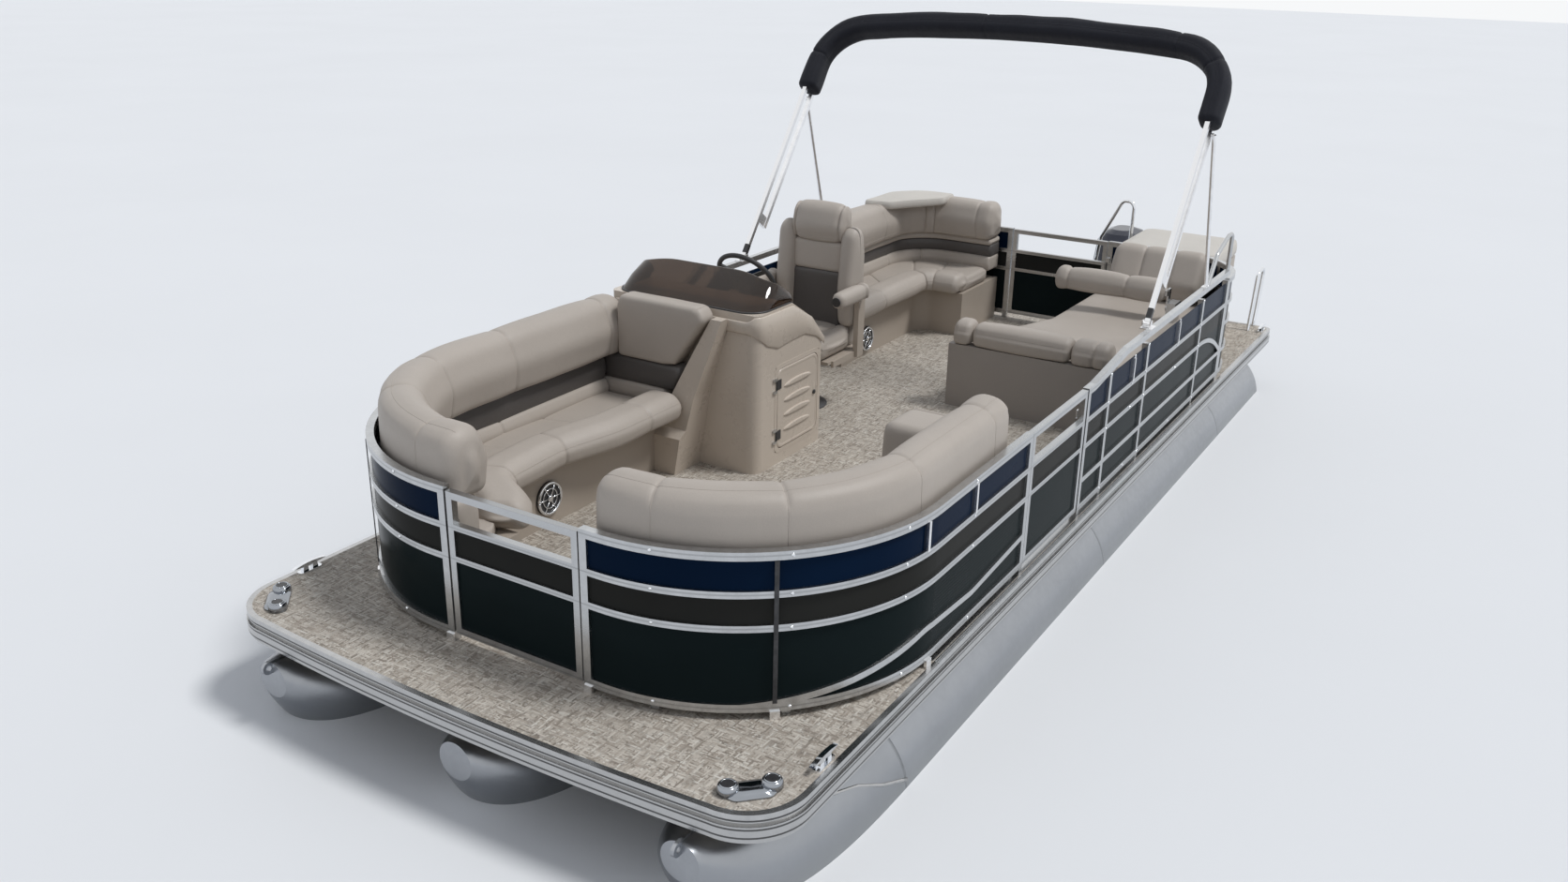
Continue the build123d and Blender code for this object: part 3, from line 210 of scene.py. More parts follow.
def makeVinylGrain():
    # pebbled grain with long soft creases
    tree, given, out = newGroup("vinylGrain", {"Grain Scale": 420.0, "Crease Scale": 9.0, "Crease": 0.5},
                                ("Height", "Pores"))
    cells = addNode(tree, "TexVoronoi", {"Vector": objectPlace(tree), "Scale": given["Grain Scale"]})
    pores = cells.outputs["Distance"]
    creases = noiseNode(tree, objectPlace(tree, (1.0, 1.0, 0.6)), given["Crease Scale"], 3.0, 0.55)
    folded = mathNode(tree, "ABSOLUTE", mathNode(tree, "SUBTRACT", creases, 0.5))
    crease = times(tree, mathNode(tree, "SUBTRACT", 0.25, folded), given["Crease"])
    feed(tree, out["Height"], mathNode(tree, "ADD", times(tree, pores, 0.05), crease))
    feed(tree, out["Pores"], pores)
    return tree


def makeBrushed():
    # drawn or brushed metal: streaks along one axis, and blotches of tarnish
    tree, given, out = newGroup("brushedMetal", {
        "Along X": 1.0, "Along Y": 1.0, "Along Z": 1.0, "Streak Scale": 60.0, "Tarnish Scale": 2.5},
        ("Height", "Streak", "Tarnish"))
    place = objectPlace(tree)
    stretch = addNode(tree, "CombineXYZ", {k: given[k] for k in range(3)}).outputs[0]
    scaled = addNode(tree, "VectorMath", {0: place, 1: stretch}, operation="MULTIPLY").outputs[0]
    streak = noiseNode(tree, scaled, given["Streak Scale"], 3.0, 0.6)
    blotch = noiseNode(tree, place, given["Tarnish Scale"], 5.0, 0.65)
    feed(tree, out["Height"], streak)
    feed(tree, out["Streak"], streak)
    feed(tree, out["Tarnish"], ramp(tree, blotch, 0.35, 0.7))
    return tree


def makeWornEdges():
    # bright rubbed edges from the Pointiness of the mesh
    tree, given, out = newGroup("wornEdges", {"From": 0.52, "To": 0.60}, ("Mask",))
    pointed = addNode(tree, "NewGeometry").outputs["Pointiness"]
    edges = ramp(tree, pointed, given["From"], given["To"])
    spots = ramp(tree, noiseNode(tree, objectPlace(tree), 25.0, 4.0, 0.7), 0.35, 0.65)
    feed(tree, out["Mask"], times(tree, edges, spots))
    return tree


groups = {"tone": makeTone(), "vinylGrain": makeVinylGrain(), "brushed": makeBrushed(),
          "wornEdges": makeWornEdges()}


# Materials

finish = {}


def newMaterial(name, plain=None):
    # the values in plain are the same all over it
    material = finish[name] = bpy.data.materials.new(name)
    material.use_nodes = True
    sockets = material.node_tree.nodes["Principled BSDF"].inputs
    for label, value in (plain or {}).items():
        sockets[label].default_value = value
    return material.node_tree, sockets


def placeGroup(tree, key, feeds=None):
    return addNode(tree, "Group", feeds, node_tree=groups[key]).outputs


def toned(tree, base, drift, patch, dust):
    feeds = {"Base": base, "Drift": drift, "Patch Scale": patch, "Dust": dust}
    return placeGroup(tree, "tone", feeds)[0]


def shaded(colour, by, lift=0.0):
    return tuple(min(1.0, by * part + lift) for part in colour)


def dress(tree, sockets, colour, rough, height, strength, depth):
    # what changes over the surface: its colour, roughness and relief
    feed(tree, sockets["Base Color"], colour)
    feed(tree, sockets["Roughness"], rough)
    relief = addNode(tree, "Bump", {"Height": height, "Strength": strength, "Distance": depth})
    feed(tree, sockets["Normal"], relief.outputs[0])


def vinyl(name, colour, rough=0.46, crease=0.5, dust=0.10):
    tree, sockets = newMaterial(name, {"Specular IOR Level": 0.42})
    grain = placeGroup(tree, "vinylGrain", {"Crease": crease})
    pores = ramp(tree, grain["Pores"], 0.0, 0.9, 0.93, 1.04)
    shade = mixColour(tree, 1.0, toned(tree, colour, 0.10, 2.2, dust), pores, "MULTIPLY")
    sheen = ramp(tree, grain["Pores"], 0.0, 0.8, rough - 0.07, rough + 0.10)
    dress(tree, sockets, shade, sheen, grain["Height"], 0.55, 0.012)


def brushed(name, colour, rough, stretch, streaks, tarnish, scale):
    # the parts of a metal: tree, sockets, colour, roughness and height
    tree, sockets = newMaterial(name, {"Metallic": 1.0})
    along = {f"Along {axis}": share for axis, share in zip("XYZ", stretch)}
    group = placeGroup(tree, "brushed", {**along, "Streak Scale": scale})
    tone = toned(tree, colour, 0.05, 4.0, 0.03)
    aged = mixColour(tree, times(tree, group["Tarnish"], tarnish), tone, shaded(colour, 0.55))
    shade = mixColour(tree, placeGroup(tree, "wornEdges")[0], aged, shaded(colour, 1.12))
    sheen = ramp(tree, group["Streak"], 0.2, 0.8, rough - streaks, rough + streaks)
    return tree, sockets, shade, sheen, group["Height"]


def metal(name, colour, rough, stretch, streaks=0.12, tarnish=0.10, scale=60.0, lines=0.15, grooves=None):
    # grooves are lines sunk along a drawn section and darkened with painted shade: their heights, half their width
    # and how dark their painted shade is
    tree, sockets, shade, sheen, height = brushed(name, colour, rough, stretch, streaks, tarnish, scale)
    if grooves:
        heights, half, dark = grooves
        level = splitPlace(tree)["Z"]
        mask = strongest(tree, [mathNode(tree, "COMPARE", level, at, half) for at in heights])
        # painted shade in the grooves: the metal's colour darkened to a share of itself along each groove
        shade = mixColour(tree, mask, shade, shaded(colour, dark))
        height = mathNode(tree, "SUBTRACT", height, times(tree, mask, 3.0))
    dress(tree, sockets, shade, sheen, height, lines, 0.0004)


def tubeMetal(name, colour, rough, welds):
    # rolled sheet tube: long streaks, a darker tint towards the bottom and a beaded weld round each joint
    tree, sockets, shade, sheen, _ = brushed(name, colour, rough, (0.05, 1, 1), 0.05, 0.22, 30.0)
    split = splitPlace(tree)
    far = [mathNode(tree, "ABSOLUTE", mathNode(tree, "SUBTRACT", split["X"], at)) for at in welds]
    bead = strongest(tree, [ramp(tree, gap, 0.010, 0.004) for gap in far])
    # the lowest 10 cm of the tube is darker towards the bottom
    marks = ramp(tree, split["Z"], 0.10, 0.0, 0.0, 0.35)
    darkerLow = mixColour(tree, marks, shade, (0.30, 0.31, 0.30))
    welded = mixColour(tree, times(tree, bead, 0.6), darkerLow, (0.22, 0.23, 0.24))
    ripple = noiseNode(tree, objectPlace(tree, (0.3, 1, 1)), 90.0, 1.0)
    dress(tree, sockets, welded, sheen, times(tree, bead, mathNode(tree, "ADD", ripple, 0.6)), 0.7, 0.004)


def fencePanel(name, bands, ribPitch=0.014):
    # painted sheet in bands of colour by height, with fine rolled ribs along the lowest
    tree, sockets = newMaterial(name, {"Specular IOR Level": 0.02})
    height = splitPlace(tree)["Z"]
    colour = bands[0][1]
    for level, shade in bands[1:]:
        colour = mixColour(tree, mathNode(tree, "GREATER_THAN", height, level), colour, shade)
    haze = noiseNode(tree, objectPlace(tree), 6.0, 4.0, 0.6)
    turns = mathNode(tree, "SINE", times(tree, height, 2 * math.pi / ribPitch))
    ribs = times(tree, turns, mathNode(tree, "LESS_THAN", height, bands[1][0]))
    waves = noiseNode(tree, objectPlace(tree, (1, 1, 3)), 3.0, 1.0)
    dress(tree, sockets, toned(tree, colour, 0.25, 1.6, 0.0), ramp(tree, haze, 0.3, 0.7, 0.12, 0.22),
          mathNode(tree, "ADD", times(tree, ribs, 0.25), waves), 0.12, 0.0012)


def moulded(name, colour, rough=0.28):
    # glossy tan moulding with faint orange peel
    tree, sockets = newMaterial(name, {"Specular IOR Level": 0.45, "Coat Weight": 0.12})
    scuffs = noiseNode(tree, objectPlace(tree), 9.0, 5.0, 0.7)
    dress(tree, sockets, toned(tree, colour, 0.08, 1.4, 0.02),
          ramp(tree, scuffs, 0.35, 0.7, rough - 0.03, rough + 0.07),
          noiseNode(tree, objectPlace(tree), 160.0, 2.0), 0.06, 0.0006)


def plastic(name, colour, rough=0.45, grain=300.0, strength=0.2):
    tree, sockets = newMaterial(name)
    tone = toned(tree, colour, 0.2, 5.0, 0.05)
    shade = mixColour(tree, placeGroup(tree, "wornEdges")[0], tone, shaded(colour, 1.6, 0.02))
    fine = noiseNode(tree, objectPlace(tree), grain, 3.0)
    dress(tree, sockets, shade, ramp(tree, fine, 0.3, 0.7, rough - 0.06, rough + 0.06), fine, strength, 0.0004)


def dashes(tree, stretch):
    # straight short strands, each of one shade: its shade, its rank and its edge
    feeds = {"Vector": objectPlace(tree, stretch), "Scale": 150.0, "Randomness": 0.85}
    cells = addNode(tree, "TexVoronoi", feeds, distance="CHEBYCHEV").outputs
    split = addNode(tree, "SeparateColor", {0: cells["Color"]}).outputs
    return split["Red"], split["Green"], cells["Distance"]


strandShades = ((0.0, (0.250, 0.214, 0.176)), (0.22, (0.395, 0.346, 0.290)), (0.55, (0.500, 0.450, 0.388)),
                (0.85, (0.590, 0.540, 0.470)), (1.0, (0.660, 0.625, 0.560)))


def wovenDeck(name, shades):
    # flat strands of woven vinyl: short straight dashes along and across in beige, brown and grey, each darkened
    # towards its edges with painted shade in the gaps between strands
    tree, sockets = newMaterial(name)
    along, across = dashes(tree, (0.16, 1.0, 1.0)), dashes(tree, (1.0, 0.18, 1.0))
    pick = mathNode(tree, "GREATER_THAN", along[1], across[1])
    strand, edge = (addNode(tree, "Mix", {"Factor": pick, 2: along[k], 3: across[k]}, data_type="FLOAT").outputs[0]
                    for k in (0, 2))
    scale = addNode(tree, "ValToRGB", {"Fac": strand})
    stops = scale.color_ramp.elements
    for at, _ in shades[1:-1]:
        stops.new(at)
    for stop, (at, colour) in zip(stops, shades):
        stop.position, stop.color = at, (*colour, 1)
    # painted shade: each strand's colour darkened towards its edges, in the gaps between strands
    paintedGapShade = ramp(tree, edge, 0.40, 0.62, 1.0, 0.72)
    woven = mixColour(tree, 1.0, scale.outputs[0], paintedGapShade, "MULTIPLY")
    dress(tree, sockets, toned(tree, woven, 0.20, 1.3, 0.0), 0.72,
          mathNode(tree, "SUBTRACT", times(tree, strand, 0.4), edge), 0.6, 0.0018)


def smokedGlass(name, colour):
    tree, sockets = newMaterial(name, {"Transmission Weight": 0.80, "Specular IOR Level": 0.12, "IOR": 1.46})
    haze = noiseNode(tree, objectPlace(tree), 4.0, 3.0)
    dress(tree, sockets, toned(tree, colour, 0.12, 3.0, 0.0), 0.05, haze, 0.05, 0.001)


def canvas(name, colour):
    # close woven acrylic with soft creases across it
    tree, sockets = newMaterial(name, {"Sheen Weight": 0.06, "Sheen Roughness": 0.5, "Specular IOR Level": 0.25})
    place = objectPlace(tree)
    warp = addNode(tree, "TexWave", {"Vector": place, "Scale": 130.0, "Distortion": 1.0}).outputs["Fac"]
    creases = noiseNode(tree, objectPlace(tree, (0.8, 2.4, 1.0)), 5.0, 4.0, 0.6)
    fuzz = ramp(tree, noiseNode(tree, place, 500.0, 2.0), 0.3, 0.7, 0.8, 1.35)
    shade = mixColour(tree, 1.0, toned(tree, colour, 0.3, 3.0, 0.02), fuzz, "MULTIPLY")
    dress(tree, sockets, shade, 0.75, mathNode(tree, "ADD", times(tree, warp, 0.03), creases), 0.5, 0.02)


tubeMetal("millTube", (0.37, 0.385, 0.41), 0.32, (2.305, 0.10, -2.10))
metal("frameMetal", (0.40, 0.41, 0.42), 0.45, (1, 0.1, 1), 0.08, 0.3)
# the last numbers of brightRail and rubRail give their grooves, darkened with painted shade
metal("brightRail", (0.52, 0.53, 0.54), 0.26, (0.05, 0.05, 1), 0.025, 0.05, 25.0, 0.05,
      ((1.0455, 0.9025, 0.7745, 0.4640), 0.0030, 0.78))
metal("rubRail", (0.50, 0.50, 0.50), 0.25, (0.04, 0.04, 1), 0.03, 0.08, 25.0, 0.08,
      ((0.335, 0.366, 0.397), 0.0035, 0.22))
metal("topFrame", (0.86, 0.86, 0.87), 0.26, (0.3, 1, 0.3), 0.02, 0.03, 30.0, 0.04)
metal("darkChrome", (0.34, 0.36, 0.39), 0.12, (1, 1, 1), 0.04, 0.10, 30.0, 0.03)
metal("chrome", (0.80, 0.82, 0.85), 0.08, (1, 1, 1), 0.03, 0.10, 30.0, 0.03)
fencePanel("fencePanel", ((0.0, (0.009, 0.015, 0.016)), (0.775, (0.026, 0.026, 0.024)),
                          (0.900, (0.003, 0.012, 0.034))))
vinyl("beigeVinyl", (0.455, 0.405, 0.355), dust=0.02)
vinyl("panelVinyl", (0.350, 0.315, 0.285), 0.42, 0.25, 0.02)
vinyl("creamVinyl", (0.62, 0.585, 0.53), 0.5, 0.4, 0.03)
vinyl("charcoalVinyl", (0.092, 0.084, 0.080), 0.40)
moulded("tanMoulding", (0.590, 0.515, 0.435))
moulded("tanBase", (0.430, 0.372, 0.312), 0.42)
wovenDeck("weave", strandShades)
smokedGlass("smoke", (0.085, 0.052, 0.034))
plastic("blackTrim", (0.018, 0.018, 0.020), 0.38)
plastic("softGrip", (0.022, 0.022, 0.024), 0.55, 500.0, 0.35)
plastic("motorPaint", (0.010, 0.014, 0.034), 0.16, 40.0, 0.03)
plastic("motorGrey", (0.040, 0.042, 0.048), 0.34, 200.0, 0.1)
canvas("bootCanvas", (0.009, 0.010, 0.016))

nodeFinish = {
    "millTube": ("pontoon_tubes",),
    "frameMetal": ("tube_risers", "deck_cross_members", "motor_pod"),
    "weave": ("deck_panel",),
    "rubRail": ("rub_rail",),
    "chrome": ("bow_corner_castings", "mooring_cleats", "stern_handrails"),
    "brightRail": ("bow_fences", "stern_fences", "side_fences", "hinge_brackets", "bow_gate_frame",
                   "port_gate_frame", "stern_gate_frame", "side_arch_rail", "swingback_hub"),
    "topFrame": ("top_frame_mounts", "top_frame_struts", "top_frame_braces"),
    "fencePanel": ("bow_fence_panels", "stern_fence_panels", "side_fence_panels", "bow_gate_panels",
                   "port_gate_panels", "stern_gate_panels"),
    "tanMoulding": ("helm_console", "console_door", "starboard_lounge_side_panel"),
    "tanBase": ("bow_lounge_bases", "aft_lounge_base", "sunpad_base", "helm_chair_frame"),
    "panelVinyl": ("chaise_base",),
    "beigeVinyl": ("bow_lounge_seats", "bow_lounge_backs", "bow_lounge_end_cushions", "aft_lounge_seat",
                   "aft_lounge_back", "aft_lounge_corner_pad", "chaise_seat", "chaise_rolls",
                   "helm_chair_seat", "helm_chair_back", "helm_chair_arms", "swingback_bar"),
    "creamVinyl": ("sunpad_cushion",),
    "smoke": ("console_windscreen",),
    "softGrip": ("steering_wheel",),
    "blackTrim": ("speakers",),
    "motorGrey": ("helm_chair_pedestal", "outboard_clamp_bracket", "outboard_swivel_bracket", "outboard_leg",
                  "propeller"),
    "motorPaint": ("outboard_cowl",),
    "bootCanvas": ("top_boot",),
}

for look, names in nodeFinish.items():
    for name in names:
        nodes[name].data.materials.clear()
        nodes[name].data.materials.append(finish[look])
print("materials made")


def makeFloor(spec):
    mesh = bpy.data.meshes.new("studioFloor")
    half = spec["floorSize"]
    mesh.from_pydata([(-half, -half, 0), (half, -half, 0), (half, half, 0), (-half, half, 0)], [], [(0, 1, 2, 3)])
    floor = placed("studioFloor", mesh)
    tree, sockets = newMaterial("floorPaint", {"Roughness": 0.9})
    feed(tree, sockets["Base Color"], toned(tree, spec["floor"], 0.03, 0.3, 0.0))
    mesh.materials.append(finish["floorPaint"])


makeFloor(studio)


# Routes, outlines and the forms built on them

def roundedRoute(corners, step=0.03, closed=False):
    # points along straight runs and arcs; a corner is (x, y, radius)
    points = []
    last = len(corners) - 1
    for index, (x, y, radius) in enumerate(corners):
        here = Vector((x, y))
        if not closed and index in (0, last):
            points.append(here)
            continue
        into = (here - Vector(corners[index - 1][:2])).normalized()
        away = (Vector(corners[(index + 1) % len(corners)][:2]) - here).normalized()
        turn = math.atan2(into.x * away.y - into.y * away.x, into.dot(away))
        if radius <= 0 or abs(turn) < 0.01:
            points.append(here)
            continue
        start = here - into * radius * math.tan(abs(turn) / 2)
        centre = start + math.copysign(radius, turn) * Vector((-into.y, into.x))
        pieces = max(3, math.ceil(abs(turn) * radius / step))
        for k in range(pieces + 1):
            points.append(centre + Matrix.Rotation(turn * k / pieces, 2) @ (start - centre))
    filled = []
    ends = points + points[:1] if closed else points
    for first, second in zip(ends, ends[1:]):
        pieces = max(1, round((second - first).length / step))
        filled.extend(first.lerp(second, k / pieces) for k in range(pieces))
    if not closed:
        filled.append(points[-1])
    return [p for k, p in enumerate(filled) if (p - filled[k - 1]).length > 1e-5 or k == 0]


def boxOutline(x0, x1, y0, y1, radius=0.0, step=1.0):
    corners = [(x0, y0, radius), (x1, y0, radius), (x1, y1, radius), (x0, y1, radius)]
    return roundedRoute(corners, step, closed=True)


def angles(count, extra=0):
    return [2 * math.pi * k / count for k in range(count + extra)]


class Route:
    # a line in plan with the point and heading at any distance along it

    def __init__(self, points):
        self.points = points
        self.marks = [0.0]
        for first, second in zip(points, points[1:]):
            self.marks.append(self.marks[-1] + (second - first).length)
        self.length = self.marks[-1]
        runs = [(b - a).normalized() for a, b in zip(points, points[1:])]
        self.heads = [runs[0]] + [(a + b).normalized() for a, b in zip(runs, runs[1:])] + [runs[-1]]

    def at(self, distance):
        distance = min(max(distance, 0.0), self.length)
        index = min(max(0, bisect_left(self.marks, distance) - 1), len(self.points) - 2)
        span = self.marks[index + 1] - self.marks[index]
        part = (distance - self.marks[index]) / span
        return (self.points[index].lerp(self.points[index + 1], part),
                self.heads[index].lerp(self.heads[index + 1], part).normalized())


def skin(mesh, rings, capped=True):
    # faces from each ring of points to the next, and over both ends
    for first, second in zip(rings, rings[1:]):
        for k in range(len(first)):
            j = (k + 1) % len(first)
            mesh.faces.new((first[k], first[j], second[j], second[k]))
    if capped:
        mesh.faces.new(rings[0][::-1])
        mesh.faces.new(rings[-1])


def stackInto(mesh, outline, levels, place):
    # adds a closed form from an outline in plan: each level gives a share of its size and a height
    middle = sum(outline, Vector((0, 0))) / len(outline)
    skin(mesh, [[mesh.verts.new(place(middle + (p - middle) * share, height)) for p in outline]
                for share, height in levels])


def standing(base, out):
    # places an outline's points at base: its y towards out, and heights upwards
    along = Vector((-out.y, out.x, 0))
    return lambda point, height: base + along * point.x + out * point.y + upright * height


def uprightInto(mesh, base, out, half, deep, low, high):
    # adds an upright bar with its face towards out
    stackInto(mesh, boxOutline(-half, half, -deep, deep), ((1.0, low), (1.0, high)), standing(base, out))


def tubeInto(mesh, points, radius, sides=8):
    # adds a round tube along 3-D points
    rings = []
    side = None
    for k, point in enumerate(points):
        before, after = points[max(k - 1, 0)], points[min(k + 1, len(points) - 1)]
        ahead = (after - before).normalized()
        if side is None:
            side = ahead.orthogonal().normalized()
        side = (side - ahead * side.dot(ahead)).normalized()
        over = ahead.cross(side)
        rings.append([mesh.verts.new(point + radius * (math.cos(a) * side + math.sin(a) * over))
                      for a in angles(sides)])
    skin(mesh, rings)


def boxInto(mesh, low, high, bevel):
    # adds a box between two corners, with its edges rounded off
    made = bmesh.ops.create_cube(mesh, size=1.0)["verts"]
    middle = (Vector(low) + Vector(high)) / 2
    size = Vector(high) - Vector(low)
    for vert in made:
        vert.co = Vector(p * q for p, q in zip(vert.co, size)) + middle
    edges = {edge for vert in made for edge in vert.link_edges}
    bmesh.ops.bevel(mesh, geom=list(edges), offset=bevel, segments=2, profile=0.6, affect="EDGES")


def discInto(mesh, centre, axis, radius, thick, sides=24, rim=0.002):
    # adds a round plate, centred, with a chamfer on its rim
    turn = Vector(axis).to_track_quat("Z", "Y")
    half = thick / 2
    skin(mesh, [[mesh.verts.new(Vector(centre) + turn @ Vector((wide * math.cos(a), wide * math.sin(a), level)))
                 for a in angles(sides)]
                for level, wide in ((-half, radius - rim), (-half + rim, radius), (half - rim, radius),
                                    (half, radius - rim))])


def meshObject(name, mesh, look, smooth=False):
    bmesh.ops.recalc_face_normals(mesh, faces=mesh.faces)
    data = bpy.data.meshes.new(name)
    mesh.to_mesh(data)
    mesh.free()
    if smooth:
        data.polygons.foreach_set("use_smooth", [True] * len(data.polygons))
    data.materials.append(finish[look])
    return placed(name, data)


def finishPiece(name, mesh, look, body="hull", replaces=(), smooth=False):
    obj = meshObject(name, mesh, look, smooth)
    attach(obj, body)
    if replaces:
        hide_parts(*replaces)


# Soft goods: padded forms swept along a route, each over its CAD solid

softShape = {
    "step": 0.035, "ring": 0.016,          # spacing along the route and round the section
    "closest": 0.0015,                     # sections never stand closer than this
    "flatStep": 0.02,                      # spacing round the outline of a flat pad
    "thinnest": 0.1,                       # least share of a section near a rounded end
    "seamWide": 0.007, "seamDeep": 0.006, "lineWide": 0.010,
    "puff": 0.006,                         # swell between seams
    "ripple": 0.0025, "rippleSize": 5.0,
    "resting": 0.15,                       # share of swell and ripple on a face that rests on something
    "down": -0.8, "back": -0.9,            # a face rests where its normal passes one of these
    "lineEnds": 4,                         # sections left free at both ends of a seam line
    "endRings": (0.75, 0.45, 0.18),
    "weltRadius": 0.0016, "weltSides": 5,
    "capMarks": (0.03, 0.12, 0.29, 0.5, 0.75, 1.0),
    "seamMarks": (-0.024, -0.012, -0.006, 0.0, 0.006, 0.012, 0.024),
}
padWelts = []       # body, finish and seam lines of each pad


def stationsAlong(length, seams, cap):
    count = max(2, round(length / softShape["step"]))
    marks = {0.0, length, *(length * k / count for k in range(count + 1))}
    for share in softShape["capMarks"]:
        marks.update((cap * share, length - cap * share))
    for seam in seams:
        marks.update(seam + shift for shift in softShape["seamMarks"])
    kept = [0.0]
    for mark in sorted(m for m in marks if 0.0 <= m <= length):
        if mark - kept[-1] > softShape["closest"]:
            kept.append(mark)
    kept[-1] = length
    return kept


def finishPad(name, mesh, look, welts, body="hull", replaces=(), fill=0.7, slot="vinyl"):
    obj = meshObject(name, mesh, look, smooth=True)
    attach(obj, body)
    if replaces:
        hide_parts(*replaces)
    padWelts.append((body, look, welts))


def sweepPad(name, line, section, look="beigeVinyl", seams=(), lines=(), cap=0.045, crown=0.012,
             puff=softShape["puff"], ripple=softShape["ripple"], **rest):
    # line is a run: origin, u and v axes at a distance, and its length
    # section is a closed outline's corners, or a function that gives its points at a share of the length
    frameAt, length = line
    if not callable(section):
        corners = roundedRoute(section, softShape["ring"], closed=True)
    edges = [0.0, *seams, length]
    rings, welts = [], []
    for mark in stationsAlong(length, seams, cap):
        outline = section(mark / length) if callable(section) else corners
        middle = sum(outline, Vector((0, 0))) / len(outline)
        half = Vector((max(abs(p.x - middle.x) for p in outline), max(abs(p.y - middle.y) for p in outline)))
        fromEnd = min(mark, length - mark)
        inset = cap - math.sqrt(max(0.0, cap * cap - (cap - fromEnd) ** 2)) if fromEnd < cap else 0.0
        gap = next(k for k in range(len(edges) - 1) if mark <= edges[k + 1] + 1e-9)
        share = (mark - edges[gap]) / (edges[gap + 1] - edges[gap])
        swell = puff * (1 - abs(2 * share - 1) ** 3)
        pinch = sum(softShape["seamDeep"] * math.exp(-((mark - s) / softShape["seamWide"]) ** 2) for s in seams)
        origin, uAxis, vAxis = frameAt(mark)
        ring = []
        for k, point in enumerate(outline):
            flow = outline[(k + 1) % len(outline)] - outline[k - 1]
            normal = Vector((flow.y, -flow.x)).normalized()
            rests = normal.y < softShape["down"] or normal.x < softShape["back"]
            resting = softShape["resting"] if rests else 1.0
            shrunk = Vector(m + (p - m) * max(softShape["thinnest"], 1 - inset / h)
                            for m, p, h in zip(middle, point, half))
            sunk = sum(softShape["seamDeep"] * math.exp(-((shrunk - Vector(at)).length / softShape["lineWide"]) ** 2)
                       for at in lines)
            shrunk += normal * ((swell - pinch) * resting - sunk)
            place = origin + uAxis * shrunk.x + vAxis * shrunk.y
            wave = noise.noise(place * softShape["rippleSize"]) * ripple * resting
            ring.append(place + (uAxis * normal.x + vAxis * normal.y) * wave)
        rings.append(ring)
        if any(abs(mark - s) < 1e-6 for s in seams):
            welts.append(ring + ring[:1])
    middling, free = section(0.5) if callable(section) else corners, softShape["lineEnds"]
    for at in lines:
        index = min(range(len(middling)), key=lambda k: (middling[k] - Vector(at)).length)
        welts.append([ring[index] for ring in rings[free:-free]])
    caps = []
    for end, beside in ((0, 1), (-1, -2)):
        middle = sum(rings[end], Vector()) / len(rings[end])
        ahead = sum((a - b for a, b in zip(rings[end], rings[beside])), Vector()).normalized()
        caps.append([[middle + (p - middle) * s + ahead * crown * (1 - s * s) for p in rings[end]]
                     for s in softShape["endRings"]])
    mesh = bmesh.new()
    skin(mesh, [[mesh.verts.new(p) for p in ring] for ring in caps[0][::-1] + rings + caps[1]])
    finishPad(name, mesh, look, welts, **rest)


def flatPad(name, outline, low, high, edge, look, crown=0.010, **rest):
    # a pad cut to an outline in plan, crowned on top and flat below; each step is a share of the outline
    # and a height
    points = roundedRoute(outline, softShape["flatStep"], closed=True)
    middle = sum(points, Vector((0, 0))) / len(points)
    tall = high - low
    steps = ((0.30, low), (0.70, low), (0.97, low), (1.0, low + 0.25 * tall), (1.004, low + 0.55 * tall),
             (0.995, high - edge * 0.35), (0.975, high), (0.93, high + crown * 0.35),
             (0.80, high + crown * 0.75), (0.55, high + crown), (0.25, high + crown))
    mesh = bmesh.new()
    grid = []
    for share, z in steps:
        ring = []
        for p in points:
            x, y = middle + (p - middle) * share
            wave = noise.noise(Vector((x, y, z)) * softShape["rippleSize"]) * softShape["ripple"]
            ring.append(mesh.verts.new((x, y, z + (wave if z > low else 0))))
        grid.append(ring)
    skin(mesh, grid)
    seam = [vert.co.copy() for vert in grid[6]]
    finishPad(name, mesh, look, [seam + seam[:1]], **rest)


def makeWelts():
    # the raised seam lines of every pad, joined for each body and finish
    found = {}
    for body, look, welts in padWelts:
        found.setdefault((body, look), []).extend(welts)
    for (body, look), lines in found.items():
        if lines:
            mesh = bmesh.new()
            for line in lines:
                tubeInto(mesh, line, softShape["weltRadius"], softShape["weltSides"])
            finishPiece(f"seams_{look}_{body}", mesh, look, body, smooth=True)


railing = {
    "bow": {"face": 2.955, "radius": 0.875}, "stern": {"face": -2.511, "radius": 0.500}, "side": 1.262,
    "bowCentre": (2.080, 0.387),
}


def cornerRoute(end, hand, inset, startY, stopX):
    # a line inside the railing, from the middle round a corner and along the side
    face, radius = railing[end]["face"], railing[end]["radius"]
    across = face - inset if end == "bow" else face + inset
    along = hand * (railing["side"] - inset)
    return Route(roundedRoute([(across, hand * startY, 0), (across, along, radius - inset), (stopX, along, 0)]))


def planLine(route, hand):
    # sections stand upright across the route, u to its inner side and v up from the waterline
    def at(distance):
        point, head = route.at(distance)
        return point.to_3d(), Vector((-head.y, head.x, 0)) * hand, upright
    return at, route.length


def straightLine(start, length, ahead, uAxis):
    return lambda distance: (Vector(start) + Vector(ahead) * distance, Vector(uAxis), upright), length


def acrossLine(x, y, width):
    return straightLine((x, y, 0), width, (0, 1, 0), (1, 0, 0))


def alongLine(x, y, length):
    return straightLine((x, y, 0), length, (1, 0, 0), (0, 1, 0))


def seatBetween(outer, bolster, corners, less=0.0):
    # a seat's run on its outer route, and its section stretched to the bolster, with u as a share of the width
    outline = roundedRoute([(u * 0.5, v, r) for u, v, r in corners], softShape["ring"], closed=True)

    def frameAt(distance):
        point = outer.at(distance)[0]
        across = bolster.at(bolster.length * distance / outer.length)[0] - point
        return point.to_3d(), across.to_3d().normalized(), upright

    def sectionAt(share):
        across = bolster.at(bolster.length * share)[0] - outer.at(outer.length * share)[0]
        width = max(less, across.length - less)
        return [Vector((p.x / 0.5 * width, p.y)) for p in outline]

    return (frameAt, outer.length), sectionAt


